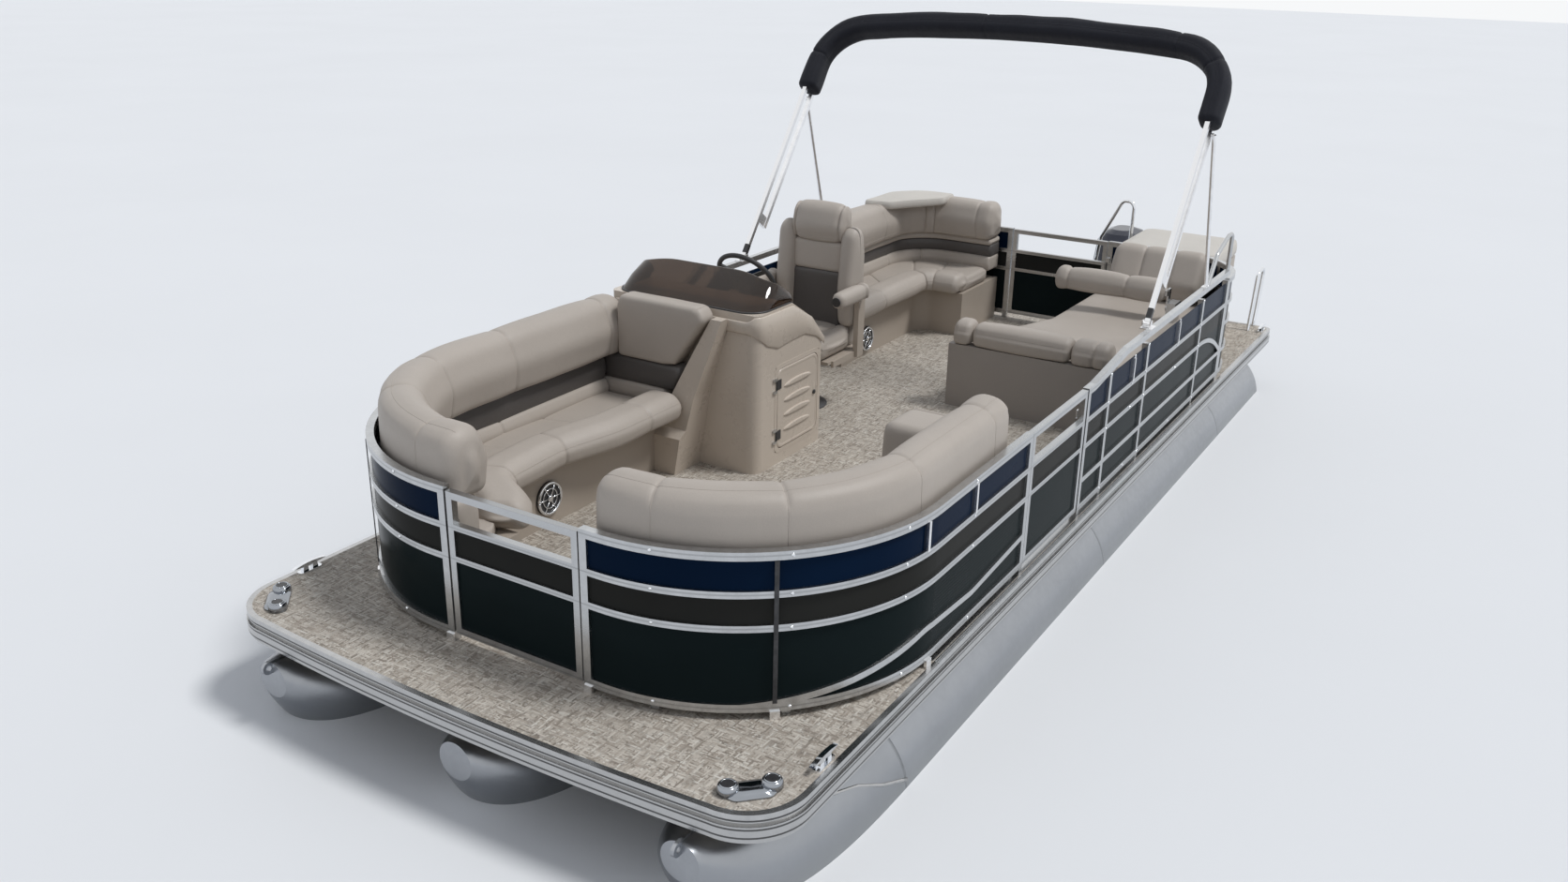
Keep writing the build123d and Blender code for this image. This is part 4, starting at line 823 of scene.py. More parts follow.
bowLounge = {
    "startY": 0.318, "rollInset": 0.052, "bandInset": 0.054, "seatInset": 0.204,
    "roll": dict(section=[(0.000, 0.952, 0.02), (0.196, 0.946, 0.045), (0.222, 1.090, 0.12), (0.160, 1.240, 0.085),
                          (0.006, 1.226, 0.08)], lines=((0.060, 1.236),), cap=0.07, crown=0.02),
    "band": dict(section=[(0.000, 0.815, 0.005), (0.140, 0.815, 0.02), (0.152, 0.880, 0.06), (0.142, 0.946, 0.02),
                          (0.000, 0.946, 0.005)], look="charcoalVinyl", cap=0.015, crown=0.002, puff=0.004),
    "strip": dict(section=[(0.000, 0.735, 0.005), (0.160, 0.735, 0.02), (0.170, 0.780, 0.04), (0.152, 0.822, 0.02),
                           (0.000, 0.822, 0.005)], seams=(0.9, 1.5), cap=0.015, crown=0.002, puff=0.004),
    "bolster": dict(section=[(-0.105, 0.716, 0.03), (0.100, 0.714, 0.03), (0.112, 0.790, 0.05),
                             (0.062, 0.838, 0.06), (-0.070, 0.836, 0.06), (-0.105, 0.790, 0.03)],
                    lines=((0.108, 0.800), (-0.100, 0.815)), cap=0.05, crown=0.02),
    "seat": [(0.0, 0.712, 0.01), (1.0, 0.712, 0.02), (1.0, 0.760, 0.02), (0.0, 0.760, 0.01)], "seatGap": 0.05,
    "seatForm": dict(cap=0.03, crown=0.004, puff=0.008),
    "sides": {
        "starboard": {
            "hand": -1, "rollEnd": 0.985, "rollSeams": (0.20, 0.72, 1.13, 1.62, 2.30), "bandEnd": 1.115,
            "seatEnd": 1.110, "seatSeams": (0.55, 1.10, 1.55), "bolsterSeams": (0.42, 0.82, 1.36),
            "bolster": [(2.600, -0.400, 0), (2.520, -0.440, 0.10), (2.380, -0.700, 0.22), (1.950, -0.735, 0.5),
                        (1.620, -0.672, 0.5), (1.125, -0.672, 0)]},
        "port": {
            "hand": 1, "rollEnd": 1.312, "rollSeams": (0.25, 0.72, 1.30, 1.95), "bandEnd": 1.490,
            "seatEnd": 1.485, "seatSeams": (0.55, 1.10), "bolsterSeams": (0.42, 0.85),
            "bolster": [(2.600, 0.420, 0), (2.520, 0.460, 0.10), (2.380, 0.710, 0.22), (1.950, 0.720, 0.5),
                        (1.490, 0.672, 0)]},
    },
}


def makeBowBack(label, side, spec=bowLounge):
    hand = side["hand"]
    outer = cornerRoute("bow", hand, spec["rollInset"], spec["startY"], side["rollEnd"])
    sweepPad(f"{label}_bow_roll", planLine(outer, hand), seams=side["rollSeams"], **spec["roll"])
    inner = cornerRoute("bow", hand, spec["bandInset"], spec["startY"] + 0.05, side["bandEnd"])
    for key in ("band", "strip"):
        sweepPad(f"{label}_bow_{key}", planLine(inner, hand), **spec[key])


def makeBowSeat(label, side, spec=bowLounge):
    hand = side["hand"]
    outer = cornerRoute("bow", hand, spec["seatInset"], spec["startY"] + 0.03, side["seatEnd"])
    bolster = Route(roundedRoute(side["bolster"]))
    line, section = seatBetween(outer, bolster, spec["seat"], spec["seatGap"])
    sweepPad(f"{label}_bow_seat", line, section, seams=side["seatSeams"], **spec["seatForm"])
    sweepPad(f"{label}_bow_bolster", planLine(bolster, hand), seams=side["bolsterSeams"], **spec["bolster"])


for make in (makeBowBack, makeBowSeat):
    for label, side in bowLounge["sides"].items():
        make(label, side)
print("bow lounges made")

bowEnds = {
    "armX": 2.900, "armDeep": 0.070, "armY": {"starboard": (-1, -0.322), "port": (1, 0.296)},
    "arm": dict(section=[(0.0, 0.716, 0.02), (0.125, 0.716, 0.02), (0.130, 0.900, 0.05), (0.090, 0.962, 0.05),
                         (0.0, 0.962, 0.04)], cap=0.025, crown=0.006),
    "across": {         # where each pad starts, its depth and its form
        "lean_pad": (0.984, 0.118, dict(
            section=[(-0.997, 0.952, 0.02), (-0.722, 0.952, 0.02), (-0.660, 0.962, 0.02), (-0.480, 1.212, 0.03),
                     (-0.510, 1.264, 0.03), (-0.975, 1.264, 0.03), (-0.997, 1.220, 0.02)],
            lines=((-0.52, 1.255), (-0.60, 1.06)), cap=0.022, crown=0.006,
            replaces=("bow_lounge_end_cushions", "bow_lounge_backs", "bow_lounge_seats"))),
        "lean_band": (0.984, 0.110, dict(
            section=[(-1.190, 0.822, 0.01), (-0.672, 0.822, 0.03), (-0.606, 0.946, 0.03), (-1.190, 0.946, 0.01)],
            look="charcoalVinyl", cap=0.02, crown=0.004)),
        "lean_strip": (0.984, 0.122, dict(
            section=[(-1.190, 0.728, 0.01), (-0.745, 0.728, 0.03), (-0.682, 0.818, 0.03), (-1.190, 0.818, 0.01)],
            cap=0.02, crown=0.004)),
        "square_arm": (1.222, 0.258, dict(
            section=[(0.684, 0.716, 0.02), (0.994, 0.716, 0.02), (0.994, 1.066, 0.05), (0.700, 1.066, 0.05)],
            seams=(0.03,), cap=0.035, crown=0.008)),
    },
}


def makeBowEnds(spec):
    for label, (hand, y) in spec["armY"].items():
        line = straightLine((spec["armX"], y, 0), spec["armDeep"], (0, hand, 0), (-1, 0, 0))
        sweepPad(f"{label}_bow_end_pad", line, **spec["arm"])
    for name, (x, deep, form) in spec["across"].items():
        sweepPad(name, alongLine(x, 0, deep), **form)


makeBowEnds(bowEnds)

helmChair = {
    "middle": (-0.101, -0.630),
    "pads": {           # where each pad starts across the chair, its width and its form
        "chair_cushion": (-0.235, 0.470, dict(
            section=[(-0.150, 0.750, 0.03), (0.160, 0.748, 0.03), (0.218, 0.800, 0.06), (0.200, 0.880, 0.06),
                     (0.050, 0.872, 0.10), (-0.150, 0.878, 0.03)],
            seams=(0.085, 0.385), lines=((0.19, 0.875),), cap=0.05, puff=0.012, replaces=("helm_chair_seat",))),
        "chair_shell": (-0.205, 0.410, dict(
            section=[(-0.262, 0.750, 0.03), (-0.175, 0.750, 0.02), (-0.185, 1.340, 0.03), (-0.262, 1.380, 0.04)],
            cap=0.03, crown=0.006, replaces=("helm_chair_back",))),
        "chair_insert": (-0.155, 0.310, dict(
            section=[(-0.170, 0.760, 0.02), (-0.130, 0.760, 0.02), (-0.142, 1.180, 0.02), (-0.190, 1.180, 0.02)],
            look="charcoalVinyl", cap=0.015, crown=0.002)),
        "chair_band": (-0.160, 0.320, dict(
            section=[(-0.230, 1.176, 0.02), (-0.140, 1.176, 0.02), (-0.146, 1.345, 0.02), (-0.240, 1.345, 0.02)],
            cap=0.02, crown=0.004)),
        "chair_headrest": (-0.168, 0.336, dict(
            section=[(-0.262, 1.345, 0.04), (-0.135, 1.342, 0.04), (-0.112, 1.430, 0.07), (-0.150, 1.550, 0.06),
                     (-0.250, 1.545, 0.06)],
            seams=(0.03, 0.306), lines=((-0.125, 1.37),), cap=0.055, crown=0.015, puff=0.010)),
    },
    "bolsterY": (("starboard", -0.252), ("port", 0.150)), "bolsterWide": 0.102,
    "bolster": dict(section=[(-0.262, 0.880, 0.03), (-0.110, 0.880, 0.04), (-0.085, 1.100, 0.08),
                             (-0.130, 1.425, 0.06), (-0.225, 1.440, 0.06), (-0.262, 1.300, 0.06)],
                    lines=((-0.09, 1.02),), cap=0.045, crown=0.010),
    "armSpread": 0.292, "armFrom": -0.175, "armLong": 0.315,
    "arm": dict(section=[(-0.036, 1.052, 0.030), (0.036, 1.052, 0.030), (0.038, 1.136, 0.034),
                         (-0.038, 1.136, 0.034)], seams=(0.045,), cap=0.030, crown=0.006),
    "capAt": (0.0435, 1.094), "capRadius": 0.026, "capThick": 0.006,
}


def makeHelmChair(spec):
    x, y = spec["middle"]
    for name, (start, wide, form) in spec["pads"].items():
        sweepPad(name, acrossLine(x, y + start, wide), body="helm_chair", **form)
    for hand, (label, start) in zip((-1, 1), spec["bolsterY"]):
        sweepPad(f"chair_bolster_{label}", acrossLine(x, y + start, spec["bolsterWide"]), body="helm_chair",
                 **spec["bolster"])
        arm = alongLine(x + spec["armFrom"], y + hand * spec["armSpread"], spec["armLong"])
        sweepPad(f"chair_arm_{label}", arm, body="helm_chair", **spec["arm"],
                 replaces=("helm_chair_arms",) if label == "port" else ())


makeHelmChair(helmChair)
print("helm chair made")

aftLounge = {
    "foreX": -0.807, "seatEnd": -0.813, "rollStart": (0.052, 0.426), "bandStart": (0.054, 0.440),
    "seatStart": (0.205, 0.452),        # inset from the railing, and how far from the middle
    "roll": dict(section=[(0.000, 1.002, 0.02), (0.200, 0.996, 0.045), (0.222, 1.120, 0.12), (0.170, 1.246, 0.07),
                          (0.006, 1.240, 0.06)], seams=(0.12, 0.50, 0.62, 1.25), lines=((0.214, 1.03),),
                 cap=0.06, crown=0.02, replaces=("aft_lounge_back", "aft_lounge_seat")),
    "bandForm": dict(cap=0.015, crown=0.002, puff=0.003),
    "bands": {
        "trimBand": dict(section=[(0.000, 0.962, 0.005), (0.165, 0.962, 0.01), (0.172, 0.980, 0.01),
                                  (0.165, 1.000, 0.01), (0.000, 1.000, 0.005)]),
        "darkBand": dict(section=[(0.000, 0.876, 0.005), (0.150, 0.876, 0.02), (0.160, 0.920, 0.05),
                                  (0.150, 0.964, 0.02), (0.000, 0.964, 0.005)], look="charcoalVinyl"),
        "strip": dict(section=[(0.000, 0.780, 0.005), (0.165, 0.780, 0.02), (0.178, 0.830, 0.04),
                               (0.162, 0.880, 0.02), (0.000, 0.880, 0.005)], seams=(0.62, 1.1)),
    },
    "seat": [(0.0, 0.712, 0.01), (1.0, 0.712, 0.02), (1.0, 0.800, 0.03), (0.0, 0.800, 0.01)],
    "seatForm": dict(seams=(0.30, 0.55, 1.1), cap=0.03, crown=0.006, puff=0.008),
    "bolsterRoute": [(-1.900, -0.452, 0), (-1.900, -0.770, 0.16), (-0.813, -0.770, 0)],
    "bolster": dict(section=[(-0.095, 0.718, 0.03), (0.098, 0.716, 0.03), (0.112, 0.780, 0.05),
                             (0.070, 0.832, 0.05), (-0.060, 0.832, 0.05), (-0.095, 0.790, 0.03)],
                    seams=(0.20, 0.33, 0.95), lines=((0.108, 0.795),), cap=0.04),
}


def makeAftLounge(spec):
    roll = cornerRoute("stern", -1, *spec["rollStart"], spec["foreX"])
    sweepPad("aft_roll", planLine(roll, 1), **spec["roll"])
    band = cornerRoute("stern", -1, *spec["bandStart"], spec["foreX"])
    for key, form in spec["bands"].items():
        sweepPad(f"aft_{key}", planLine(band, 1), **spec["bandForm"], **form)
    outer = cornerRoute("stern", -1, *spec["seatStart"], spec["seatEnd"])
    bolster = Route(roundedRoute(spec["bolsterRoute"]))
    line, section = seatBetween(outer, bolster, spec["seat"])
    sweepPad("aft_seat", line, section, **spec["seatForm"])
    sweepPad("aft_bolster", planLine(bolster, 1), **spec["bolster"])


makeAftLounge(aftLounge)

cornerPad = dict(
    outline=[(-2.410, -0.780, 0.03), (-2.410, -1.020, 0.24), (-2.250, -1.185, 0.20), (-1.800, -1.185, 0.03),
             (-1.850, -1.010, 0.05), (-2.215, -0.780, 0.05)],
    low=1.214, high=1.262, edge=0.016, look="creamVinyl", replaces=("aft_lounge_corner_pad",))
flatPad("corner_pad", **cornerPad)

chaise = {
    "cushion": dict(
        outline=[(-0.700, 1.195, 0.03), (-0.700, 0.100, 0.06), (-0.880, 0.130, 0.10), (-1.450, 0.345, 0.20),
                 (-2.440, 0.360, 0.05), (-2.440, 0.760, 0.05), (-2.400, 1.000, 0.2), (-2.200, 1.160, 0.2),
                 (-2.000, 1.195, 0.05)],
        low=0.684, high=0.770, edge=0.03, crown=0.012, look="beigeVinyl", replaces=("chaise_seat",)),
    "head": dict(section=[(-0.704, 0.792, 0.03), (-0.561, 0.792, 0.02), (-0.556, 0.850, 0.04),
                          (-0.575, 0.916, 0.06), (-0.690, 0.918, 0.06), (-0.706, 0.860, 0.04)],
                 lines=((-0.562, 0.870),), cap=0.035, crown=0.010, puff=0.010),
    "rolls": {          # where each roll of the head starts and ends, and what else it has
        "short": (0.084, 0.198, {}), "long": (0.203, 0.777, {"replaces": ("chaise_rolls",)}),
        "outer": (0.782, 1.000, {"seams": (0.13,)})},
    "backs": {          # where each starts across the boat, its width and its form
        "chaise_backrest": (0.432, 0.590, dict(
            section=[(-2.395, 0.785, 0.04), (-2.205, 0.785, 0.04), (-2.190, 0.900, 0.08), (-2.300, 1.090, 0.06),
                     (-2.395, 1.090, 0.05)],
            seams=(0.20, 0.39), lines=((-2.20, 0.86),), cap=0.05, crown=0.015, puff=0.010)),
        "swingback_bolster": (0.232, 0.698, dict(
            section=[(-1.861, 0.890, 0.04), (-1.735, 0.886, 0.04), (-1.728, 0.960, 0.06), (-1.760, 1.018, 0.05),
                     (-1.840, 1.018, 0.05), (-1.864, 0.950, 0.05)],
            body="swingback", seams=(0.09, 0.46), lines=((-1.732, 0.93),), cap=0.05, crown=0.02, puff=0.010)),
    },
}


def makeChaise(spec):
    flatPad("chaise_cushion", **spec["cushion"])
    for label, (start, end, more) in spec["rolls"].items():
        sweepPad(f"chaise_head_{label}", acrossLine(0, start, end - start), **spec["head"], **more)
    for name, (start, wide, form) in spec["backs"].items():
        sweepPad(name, acrossLine(0, start, wide), **form)


makeChaise(chaise)

swingBracket = {"x": (-1.815, -1.775), "plate": (0.940, 0.956, 0.850, 0.980), "arm": (0.880, 0.955, 0.930, 0.970),
                "pivot": (-1.795, 0.948, 0.860), "pivotRadius": 0.024, "pivotThick": 0.016, "bevel": 0.004}


def makeSwingBracket(spec):
    mesh = bmesh.new()
    (aft, fore), bevel = spec["x"], spec["bevel"]
    for y0, y1, low, high in (spec["plate"], spec["arm"]):
        boxInto(mesh, (aft, y0, low), (fore, y1, high), bevel)
    discInto(mesh, spec["pivot"], (0, 1, 0), spec["pivotRadius"], spec["pivotThick"], sides=28)
    finishPiece("swingback_bracket", mesh, "brightRail", "swingback", ("swingback_bar",))


makeSwingBracket(swingBracket)

topBoot = {
    "pivot": (-0.390, 0.0, 1.137), "lean": (-0.5906, 0.0, 0.8070), "normal": (0.8070, 0.0, 0.5906),
    "half": 1.224, "legFrom": 1.153, "legTo": 1.330, "cornerRadius": 0.290, "crown": 1.668, "crownRadius": 9.401,
    "cornerPieces": 12, "crownPieces": 20, "sag": 0.006, "sagSize": 2.3,
    "form": dict(section=[(-0.112, -0.058, 0.045), (0.030, -0.062, 0.04), (0.034, 0.052, 0.05),
                          (-0.030, 0.062, 0.06), (-0.113, 0.050, 0.05)],
                 look="bootCanvas", body="folding_top", seams=(0.36, 0.62, 1.76, 2.90), lines=((0.034, 0.000),),
                 cap=0.03, crown=0.010, puff=0.003, ripple=0.007, fill=0.5, slot="canvas", replaces=("top_boot",)),
}


def makeTopBoot(spec):
    # points across the boat and up the lean of the frame: a leg, a round corner, the flat crown and back down
    half, bottom, legTop = spec["half"], spec["legFrom"], spec["legTo"]

    def arc(x, y, radius, turn):
        return Vector((x, y)) + radius * Vector((math.cos(turn), math.sin(turn)))

    cornerX, crownY = half - spec["cornerRadius"], spec["crown"] - spec["crownRadius"]
    away = Vector((cornerX, legTop - crownY))
    meet = math.atan2(away.y, away.x)
    span = math.pi / 2 - meet
    line = [Vector((half, bottom)), Vector((half, (bottom + legTop) / 2))]
    corner, crown = spec["cornerPieces"], spec["crownPieces"]
    line += [arc(cornerX, legTop, spec["cornerRadius"], meet * k / corner) for k in range(corner + 1)]
    line += [arc(0, crownY, spec["crownRadius"], meet + span * k / crown) for k in range(1, crown + 1)]
    route = Route(line + [Vector((-p.x, p.y)) for p in line[-2::-1]])
    pivot, lean, normal = (Vector(spec[k]) for k in ("pivot", "lean", "normal"))

    def at(distance):
        point, head = route.at(distance)
        origin = pivot + Vector((0, point.x, 0)) + lean * point.y
        across = Vector((0, head.y, 0)) - lean * head.x
        sag = noise.noise(origin * spec["sagSize"]) * spec["sag"]
        return origin + across * sag, normal, across

    sweepPad("top_boot_cover", (at, route.length), **spec["form"])


makeTopBoot(topBoot)


# Hard trim, and rigid nodes with a finer shape than their solids

casting = {
    "centre": (3.115, 1.125, 0.4202),
    "outline": [(-0.140, -0.040, 0.030), (0.140, -0.040, 0.030), (0.062, 0.052, 0.035), (-0.062, 0.052, 0.035)],
    "levels": ((0.97, 0.0), (1.0, 0.002), (1.0, 0.006), (0.96, 0.009), (0.88, 0.012), (0.80, 0.018), (0.40, 0.021)),
    "housing": ((1.0, 0.006), (0.98, 0.022), (0.90, 0.031), (0.78, 0.034)), "housingRadius": 0.037,
    "lamps": ((-0.072, -0.004), (0.072, -0.004)), "lampRadius": 0.024, "lampHigh": 0.034, "bead": 0.004,
    "housingSides": 28, "lampSides": 24, "lensGap": 0.002, "lensThick": 0.007,
}


def makeCastings(spec):
    # a bright casting across each bow corner with two dark lenses
    body, lenses = bmesh.new(), bmesh.new()
    outline = roundedRoute(spec["outline"], step=0.008, closed=True)
    (x, y, z), radius = spec["centre"], spec["lampRadius"]
    for hand in (1, -1):
        out = Vector((1, hand, 0)).normalized()
        along = Vector((-out.y, out.x, 0))
        place = standing(Vector((x, hand * y, z)), out)
        stackInto(body, outline, spec["levels"], place)
        for lamp in spec["lamps"]:
            at = place(Vector(lamp), spec["lampHigh"])
            ring = [Vector(lamp) + spec["housingRadius"] * Vector((math.cos(a), math.sin(a)))
                    for a in angles(spec["housingSides"])]
            stackInto(body, ring, spec["housing"], place)
            tubeInto(body, [at + radius * (math.cos(a) * along + math.sin(a) * out)
                            for a in angles(spec["lampSides"], extra=1)], spec["bead"])
            discInto(lenses, at, upright, radius - spec["lensGap"], spec["lensThick"])
    finishPiece("corner_castings", body, "darkChrome", replaces=("bow_corner_castings",), smooth=True)
    finishPiece("casting_lenses", lenses, "blackTrim")


makeCastings(casting)

windscreen = {
    "low": {"fore": 0.945, "aft": 0.640, "inner": -0.264, "outer": -1.136, "radius": 0.110, "z": 1.2375},
    "high": {"fore": 0.745, "aft": 0.500, "inner": -0.300, "outer": -1.100, "radius": 0.095, "z": 1.390},
    "columns": 110, "rows": (0.0, 0.02, 0.5, 0.97), "thick": 0.006, "bow": 0.010, "rim": (0.25, 0.75),
    "endShare": 0.16, "fall": 0.36, "fallPower": 0.8,       # how far and how fast the ends drop
    "gasket": 0.005, "gasketUp": 0.003,
}


def makeWindscreen(spec):
    # a curved screen that wraps the dash and falls away to both sides
    def plan(cut):
        corners = [(cut["aft"], cut["inner"], 0), (cut["fore"], cut["inner"], cut["radius"]),
                   (cut["fore"], cut["outer"], cut["radius"]), (cut["aft"], cut["outer"], 0)]
        return Route(roundedRoute(corners, step=0.010))

    low, high = plan(spec["low"]), plan(spec["high"])
    mesh, grid, foot = bmesh.new(), [], []
    for k in range(spec["columns"] + 1):
        share = k / spec["columns"]
        base, head = low.at(low.length * share)
        fromEnd = min(1.0, min(share, 1 - share) / spec["fall"])
        grow = spec["endShare"] + (1 - spec["endShare"]) * math.sin(fromEnd * math.pi / 2) ** spec["fallPower"]
        inward = Vector((head.y, -head.x, 0))
        wall = inward * spec["thick"]
        first = Vector((*base, spec["low"]["z"]))
        rise = Vector((*high.at(high.length * share)[0], spec["high"]["z"])) - first
        *face, top = (first + rise * (grow * part) + inward * -spec["bow"] * math.sin(part * math.pi)
                      for part in (*spec["rows"], 1.0))
        rim = [top + wall * part for part in spec["rim"]]
        column = [*face, *rim, *(p + wall for p in face[::-1])]
        grid.append([mesh.verts.new(p) for p in column])
        foot.append(first + upright * spec["gasketUp"])
    skin(mesh, grid)
    finishPiece("windscreen_smoke", mesh, "smoke", replaces=("console_windscreen",), smooth=True)
    gasket = bmesh.new()
    tubeInto(gasket, foot, spec["gasket"])
    finishPiece("windscreen_gasket", gasket, "blackTrim", smooth=True)


makeWindscreen(windscreen)

consoleHood = {
    "route": [(0.967, -1.100, 0), (0.967, -0.250, 0.062), (0.325, -0.250, 0)], "columns": 90,
    "thick": 0.007, "lip": 0.004, "sunk": -0.004, "topStep": 0.001,
    "lowOut": 0.6, "topOut": 0.5,           # how far its edges stand out, as shares of the thickness
    "top": ((0.300, 0.965), (0.318, 0.984), (0.454, 1.126), (0.640, 1.226), (0.955, 1.230), (0.970, 1.200)),
    "low": ((0.300, 0.935), (0.400, 1.010), (0.520, 1.052), (0.640, 1.050), (0.780, 1.040), (0.880, 1.075),
            (0.940, 1.120), (0.970, 1.150)),
}


def heightAt(table, x):
    # straight lines between the places of a table of (x, height)
    for (x0, z0), (x1, z1) in zip(table, table[1:]):
        if x <= x1:
            return z0 + (z1 - z0) * max(0.0, (x - x0) / (x1 - x0))
    return table[-1][1]


def makeConsoleHood(spec):
    # the console's upper moulding stands a little proud, with an arched lower edge
    route = Route(roundedRoute(spec["route"], step=0.012))
    thick, lip, sunk = spec["thick"], spec["lip"], spec["sunk"]
    mesh, grid = bmesh.new(), []
    for k in range(spec["columns"] + 1):
        point, head = route.at(route.length * k / spec["columns"])
        outward = Vector((head.y, -head.x, 0))
        low, top = heightAt(spec["low"], point.x), heightAt(spec["top"], point.x)
        grid.append([mesh.verts.new(point.to_3d() + outward * out + upright * z) for out, z in (
            (sunk, low + lip), (thick * spec["lowOut"], low), (thick, low + lip), (thick, top - lip),
            (thick * spec["topOut"], top), (sunk, top - spec["topStep"]))])
    skin(mesh, grid)
    finishPiece("console_hood", mesh, "tanMoulding", smooth=True)


makeConsoleHood(consoleHood)

doorShape = {
    "box": (0.382, 0.776, 0.500, 0.924), "radius": 0.045, "step": 0.010, "face": -0.246,
    "levels": ((1.0, -0.022), (1.0, -0.005), (0.990, -0.0015), (0.975, 0.0), (0.930, 0.0), (0.915, -0.002),
               (0.40, -0.002)),          # share of the outline, and how far out from the face
    "frame": 0.022, "frameSides": 0.8, "frameFall": 0.001, "frameFace": -0.2475, "frameBack": -0.2525, "gap": 0.0025,
    "louvres": (0.590, 0.668, 0.746, 0.824), "louvreX": (0.450, 0.715), "louvreHigh": 0.022, "sill": 0.3,
    "louvreLevels": ((1.0, -0.004), (0.96, 0.0032), (0.80, 0.0072), (0.40, 0.008)),
    "straps": ((0.552, 0.602), (0.822, 0.872)), "strap": (0.744, 0.784), "strapThick": 0.003,
    "strapBevel": 0.001, "pin": (0.786, -0.245), "pinRadius": 0.0045,
    "latch": (0.418, -0.244, 0.712), "latchRadius": 0.012, "latchThick": 0.008,
}


def makeConsoleDoor(spec):
    # rounded door with crescent louvres, in a raised frame
    face, radius = spec["face"], spec["radius"]
    x0, x1, z0, z1 = spec["box"]

    def place(point, out):
        return Vector((point.x, face + out, point.y))

    door = bmesh.new()
    step = spec["step"]
    stackInto(door, boxOutline(x0, x1, z0, z1, radius, step), spec["levels"], place)
    left, right = spec["louvreX"]
    half, high = (right - left) / 2, spec["louvreHigh"]
    for middle in spec["louvres"]:
        arch = [(-math.cos(a), math.sin(a)) for a in (math.pi * i / 16 for i in range(17))]
        sill = [(math.cos(a), -spec["sill"] * math.sin(a)) for a in (math.pi * i / 8 for i in range(1, 8))]
        crescent = [Vector((left + half + half * u, middle + high * v)) for u, v in arch + sill]
        stackInto(door, crescent, spec["louvreLevels"], place)
    finishPiece("door_panel", door, "tanMoulding", "console_door", ("console_door",))
    trim = bmesh.new()
    (fore, back), bevel = spec["strap"], spec["strapBevel"]
    for low, top in spec["straps"]:
        boxInto(trim, (fore, face - bevel, low), (back, face + spec["strapThick"], top), bevel)
        tubeInto(trim, [Vector((*spec["pin"], z)) for z in (low, top)], spec["pinRadius"], sides=10)
    discInto(trim, spec["latch"], (0, 1, 0), spec["latchRadius"], spec["latchThick"], sides=20)
    finishPiece("door_fittings", trim, "blackTrim", "console_door")
    surround = bmesh.new()
    gap, wide = spec["gap"], spec["frame"]
    inner = boxOutline(x0 - gap, x1 + gap, z0 - gap, z1 + gap, radius + gap, step)
    sides = wide * spec["frameSides"]
    outer = [p + Vector((math.copysign(sides, p.x - (x0 + x1) / 2), math.copysign(wide, p.y - (z0 + z1) / 2)))
             for p in inner]
    back, front = spec["frameBack"], spec["frameFace"]
    rows = [[surround.verts.new((p.x, y, p.y)) for p in line]
            for line, y in ((inner, back), (inner, front), (outer, front - spec["frameFall"]), (outer, back))]
    skin(surround, rows + rows[:1], capped=False)
    finishPiece("door_surround", surround, "tanMoulding")


makeConsoleDoor(doorShape)

speakerTrim = {
    "places": ((1.970, -0.702, 0.555), (-1.117, -0.747, 0.532)), "radius": 0.073, "ring": 0.007, "round": 36,
    "hub": 0.016, "hubThick": 0.010, "hubOut": 0.002, "spokes": 6, "spoke": 0.0035, "inHub": 0.6,
    "middleRing": 0.046, "middleShare": 0.7,        # share of a spoke's thickness
}


def makeSpeakers(spec):
    mesh = bmesh.new()
    for spot in spec["places"]:
        centre = Vector(spot)

        def on(radius, angle, centre=centre):
            return centre + Vector((radius * math.cos(angle), 0, radius * math.sin(angle)))

        for size, thick, sides in ((spec["radius"], spec["ring"], 8),
                                   (spec["middleRing"], spec["spoke"] * spec["middleShare"], 6)):
            tubeInto(mesh, [on(size, a) for a in angles(spec["round"], extra=1)], thick, sides)
        for a in angles(spec["spokes"]):
            tubeInto(mesh, [on(spec["hub"] * spec["inHub"], a), on(spec["radius"], a)], spec["spoke"], sides=6)
        front = centre + Vector((0, spec["hubOut"], 0))
        discInto(mesh, front, (0, 1, 0), spec["hub"], spec["hubThick"], rim=0.003)
    finishPiece("speaker_grilles", mesh, "chrome", smooth=True)


makeSpeakers(speakerTrim)

edgeStrips = {"low": 0.4202, "rows": ((1.2220, 1.2650, 0.0025), (1.2705, 1.2790, 0.0055), (1.2825, 1.2925, 0.0035)),
              "from": -1.925, "to": 2.080, "bevel": 0.0012}


def makeEdgeStrips(spec):
    # bright strips along the deck's sides, between the railing and the rub rail
    mesh = bmesh.new()
    for hand in (1, -1):
        for near, far, high in spec["rows"]:
            low, top = sorted((hand * near, hand * far))
            boxInto(mesh, (spec["from"], low, spec["low"]), (spec["to"], top, spec["low"] + high), spec["bevel"])
    finishPiece("deck_edge_strips", mesh, "brightRail")


makeEdgeStrips(edgeStrips)

noseStrake = {"tubes": (-0.9775, 0.0, 0.9775), "bead": 0.007, "parts": 4,
              "line": ((2.300, 0.3105, 0.035), (2.450, 0.288, 0.092), (2.576, 0.2465, 0.148), (2.727, 0.2130, 0.186),
                       (2.860, 0.160, 0.212))}


def makeStrakes(spec):
    # a spray strake up each side of the noses
    mesh = bmesh.new()
    for centre in spec["tubes"]:
        for hand in (1, -1):
            points = [Vector((x, centre + hand * off, z)) for x, off, z in spec["line"]]
            run = [a.lerp(b, k / spec["parts"]) for a, b in zip(points, points[1:]) for k in range(spec["parts"])]
            tubeInto(mesh, run + points[-1:], spec["bead"])
    finishPiece("nose_strakes", mesh, "rubRail", smooth=True)


makeStrakes(noseStrake)


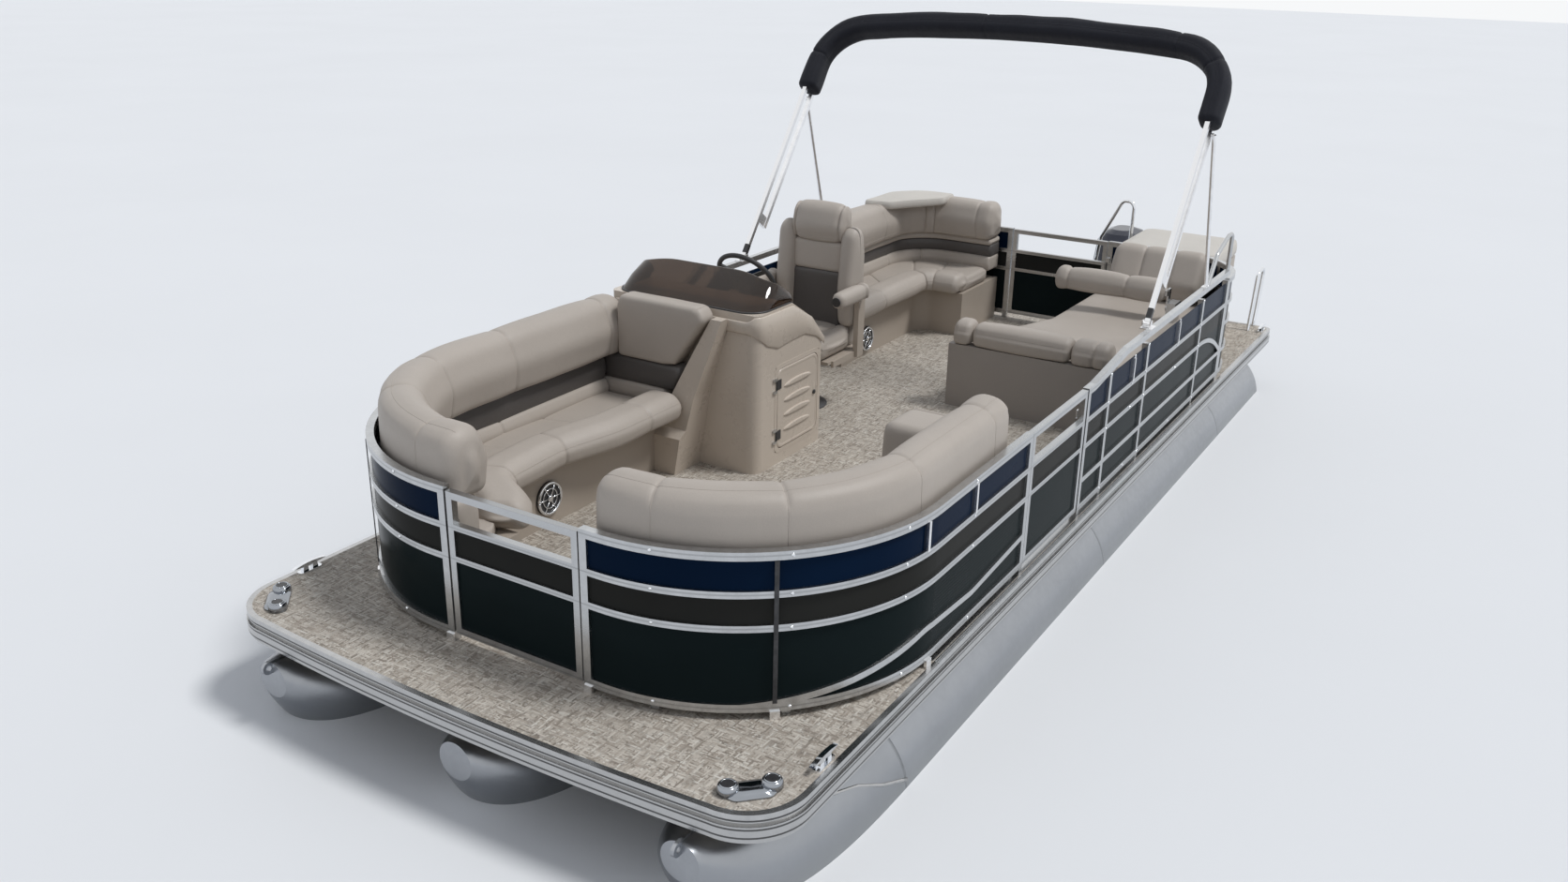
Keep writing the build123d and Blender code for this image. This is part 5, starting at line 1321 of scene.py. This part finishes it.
def onBowCorner(hand, angle, radius):
    # a place on the bow corner's curve and the way it faces; the angle is from ahead, in degrees
    turn = math.radians(angle)
    out = Vector((math.cos(turn), hand * math.sin(turn), 0))
    x, y = railing["bowCentre"]
    return Vector((x, hand * y, 0)) + out * radius, out


railTrim = {            # each bar's half width, half depth, low and high
    "radius": 0.8765, "jointAngle": 42.0, "joint": (0.008, 0.002, 0.482, 1.026),
    "sideX": (1.775, -0.120, -0.900), "sideY": 1.263, "sideBar": (0.007, 0.0045, 0.912, 1.034),
    "barAngle": 83.8, "cornerBar": (0.007, 0.0045, 0.912, 1.030),
    "clipAngles": (42.0, 87.0), "clip": (0.018, 0.006, 0.4202, 0.452), "foreClip": (2.956, 0.335),
}


def makeRailTrim(spec):
    # dark strips where the bow panels meet at each corner
    joints = bmesh.new()
    for hand in (1, -1):
        uprightInto(joints, *onBowCorner(hand, spec["jointAngle"], spec["radius"]), *spec["joint"])
    finishPiece("corner_joints", joints, "blackTrim")
    # slim upright bars on the panels, and clips that hold the lowest rail to the deck
    bars = bmesh.new()
    for hand in (1, -1):
        for x in spec["sideX"]:
            uprightInto(bars, Vector((x, hand * spec["sideY"], 0)), Vector((0, hand, 0)), *spec["sideBar"])
        uprightInto(bars, *onBowCorner(hand, spec["barAngle"], spec["radius"]), *spec["cornerBar"])
        for angle in spec["clipAngles"]:
            uprightInto(bars, *onBowCorner(hand, angle, spec["radius"]), *spec["clip"])
        x, y = spec["foreClip"]
        uprightInto(bars, Vector((x, hand * y, 0)), Vector((1, 0, 0)), *spec["clip"])
    finishPiece("rail_bars", bars, "topFrame")


makeRailTrim(railTrim)


def makeChairCaps(spec):
    mesh = bmesh.new()
    x, z = spec["capAt"]
    for hand in (1, -1):
        at = (x, spec["middle"][1] + hand * spec["armSpread"], z)
        discInto(mesh, at, (1, 0, 0), spec["capRadius"], spec["capThick"])
    finishPiece("chair_arm_caps", mesh, "blackTrim", "helm_chair")


makeChairCaps(helmChair)

frameEnds = {"spread": 1.224, "half": 0.0145, "radius": 0.004,
             "levels": ((0.94, 0.026), (1.0, 0.029), (1.0, 0.079), (0.94, 0.082))}


def makeFrameEnds(spec):
    # black end sleeves low on the legs of the folding top
    mesh, half = bmesh.new(), spec["half"]
    pivot, lean, normal = (Vector(topBoot[k]) for k in ("pivot", "lean", "normal"))
    outline = boxOutline(-half, half, -half, half, spec["radius"], spec["radius"])
    for hand in (1, -1):
        base = pivot + Vector((0, hand * spec["spread"], 0))
        stackInto(mesh, outline, spec["levels"], lambda point, height:
                  base + lean * height + normal * point.x + Vector((0, point.y, 0)))
    finishPiece("top_frame_sleeves", mesh, "blackTrim", "folding_top")


makeFrameEnds(frameEnds)

boltSpec = {
    "heights": (1.044, 0.902, 0.774, 0.464), "face": 1.2625, "radius": 0.8755,
    "posts": {1: (0.235, -0.345, -1.375), -1: (0.555, 0.235, -0.345, -1.375)},     # by side, port is 1
    "pickets": (1.775, -0.120, -0.900), "cornerAngles": (14.0, 45.5, 76.0), "head": 0.0065, "sides": 12,
    "dome": ((1.0, -0.001), (1.0, 0.0012), (0.86, 0.0026), (0.55, 0.0037), (0.22, 0.0040)),
}


def placedCopies():
    # copies of one form on points, each turned to the point's facing direction
    tree = bpy.data.node_groups.new("placedCopies", "GeometryNodeTree")
    for label, way, kind in (("Geometry", "INPUT", "Geometry"), ("Copy", "INPUT", "Object"),
                             ("Finish", "INPUT", "Material"), ("Scale", "INPUT", "Float"),
                             ("Geometry", "OUTPUT", "Geometry")):
        tree.interface.new_socket(name=label, in_out=way, socket_type=f"NodeSocket{kind}")
    given, form, facing, turn, place, real, paint, out = (tree.nodes.new(kind) for kind in (
        "NodeGroupInput", "GeometryNodeObjectInfo", "GeometryNodeInputNamedAttribute",
        "FunctionNodeAlignRotationToVector", "GeometryNodeInstanceOnPoints", "GeometryNodeRealizeInstances",
        "GeometryNodeSetMaterial", "NodeGroupOutput"))
    facing.data_type = "FLOAT_VECTOR"
    facing.inputs["Name"].default_value = "facing"
    turn.axis = "Z"
    for source, socket, target, entry in (
            (given, "Copy", form, "Object"), (facing, "Attribute", turn, "Vector"),
            (given, "Geometry", place, "Points"), (form, "Geometry", place, "Instance"),
            (turn, "Rotation", place, "Rotation"), (given, "Scale", place, "Scale"),
            (place, "Instances", real, "Geometry"), (real, "Geometry", paint, "Geometry"),
            (given, "Finish", paint, "Material"), (paint, "Geometry", out, "Geometry")):
        tree.links.new(source.outputs[socket], target.inputs[entry])
    return tree


def scatter(name, spots, form, look, body, tree, scale=1.0):
    # spots are (place, facing); the copies end as one plain mesh on its body
    data = bpy.data.meshes.new(f"{name}_points")
    data.from_pydata([tuple(place) for place, _ in spots], [], [])
    marks = data.attributes.new("facing", "FLOAT_VECTOR", "POINT")
    marks.data.foreach_set("vector", [part for _, way in spots for part in way])
    holder = placed(f"{name}_points", data)
    modifier = holder.modifiers.new("placedCopies", "NODES")
    modifier.node_group = tree
    keys = {item.name: item.identifier for item in tree.interface.items_tree if item.in_out == "INPUT"}
    modifier[keys["Copy"]] = form
    modifier[keys["Finish"]] = finish[look]
    modifier[keys["Scale"]] = scale
    mesh = bpy.data.meshes.new_from_object(holder.evaluated_get(bpy.context.evaluated_depsgraph_get()))
    mesh.name = name
    bpy.data.objects.remove(holder)
    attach(placed(name, mesh), body)


def makeBolts(spec):
    # low domed heads on the railing's posts and corners
    mesh = bmesh.new()
    outline = [spec["head"] * Vector((math.cos(a), math.sin(a))) for a in angles(spec["sides"])]
    stackInto(mesh, outline, spec["dome"], lambda point, height: point.to_3d() + upright * height)
    form = meshObject("boltForm", mesh, "chrome", smooth=True)
    feet = []
    for hand, posts in spec["posts"].items():
        feet += [(Vector((x, hand * spec["face"], 0)), Vector((0, hand, 0))) for x in posts + spec["pickets"]]
        feet += [onBowCorner(hand, angle, spec["radius"]) for angle in spec["cornerAngles"]]
    spots = [(foot + upright * z, way) for foot, way in feet for z in spec["heights"]]
    scatter("rail_bolts", spots, form, "chrome", "hull", placedCopies())
    bpy.data.objects.remove(form)
    print("bolts placed:", len(spots))


makeBolts(boltSpec)
print("trim made")

sunPad = dict(outline=[(-3.194, 0.372, 0.07), (-2.546, 0.372, 0.07), (-2.546, 1.018, 0.07), (-3.194, 1.018, 0.07)],
              low=0.932, high=1.036, edge=0.04, crown=0.012, look="creamVinyl", replaces=("sunpad_cushion",))
flatPad("sun_pad", **sunPad)
makeWelts()
print("soft goods made:", len(padWelts))
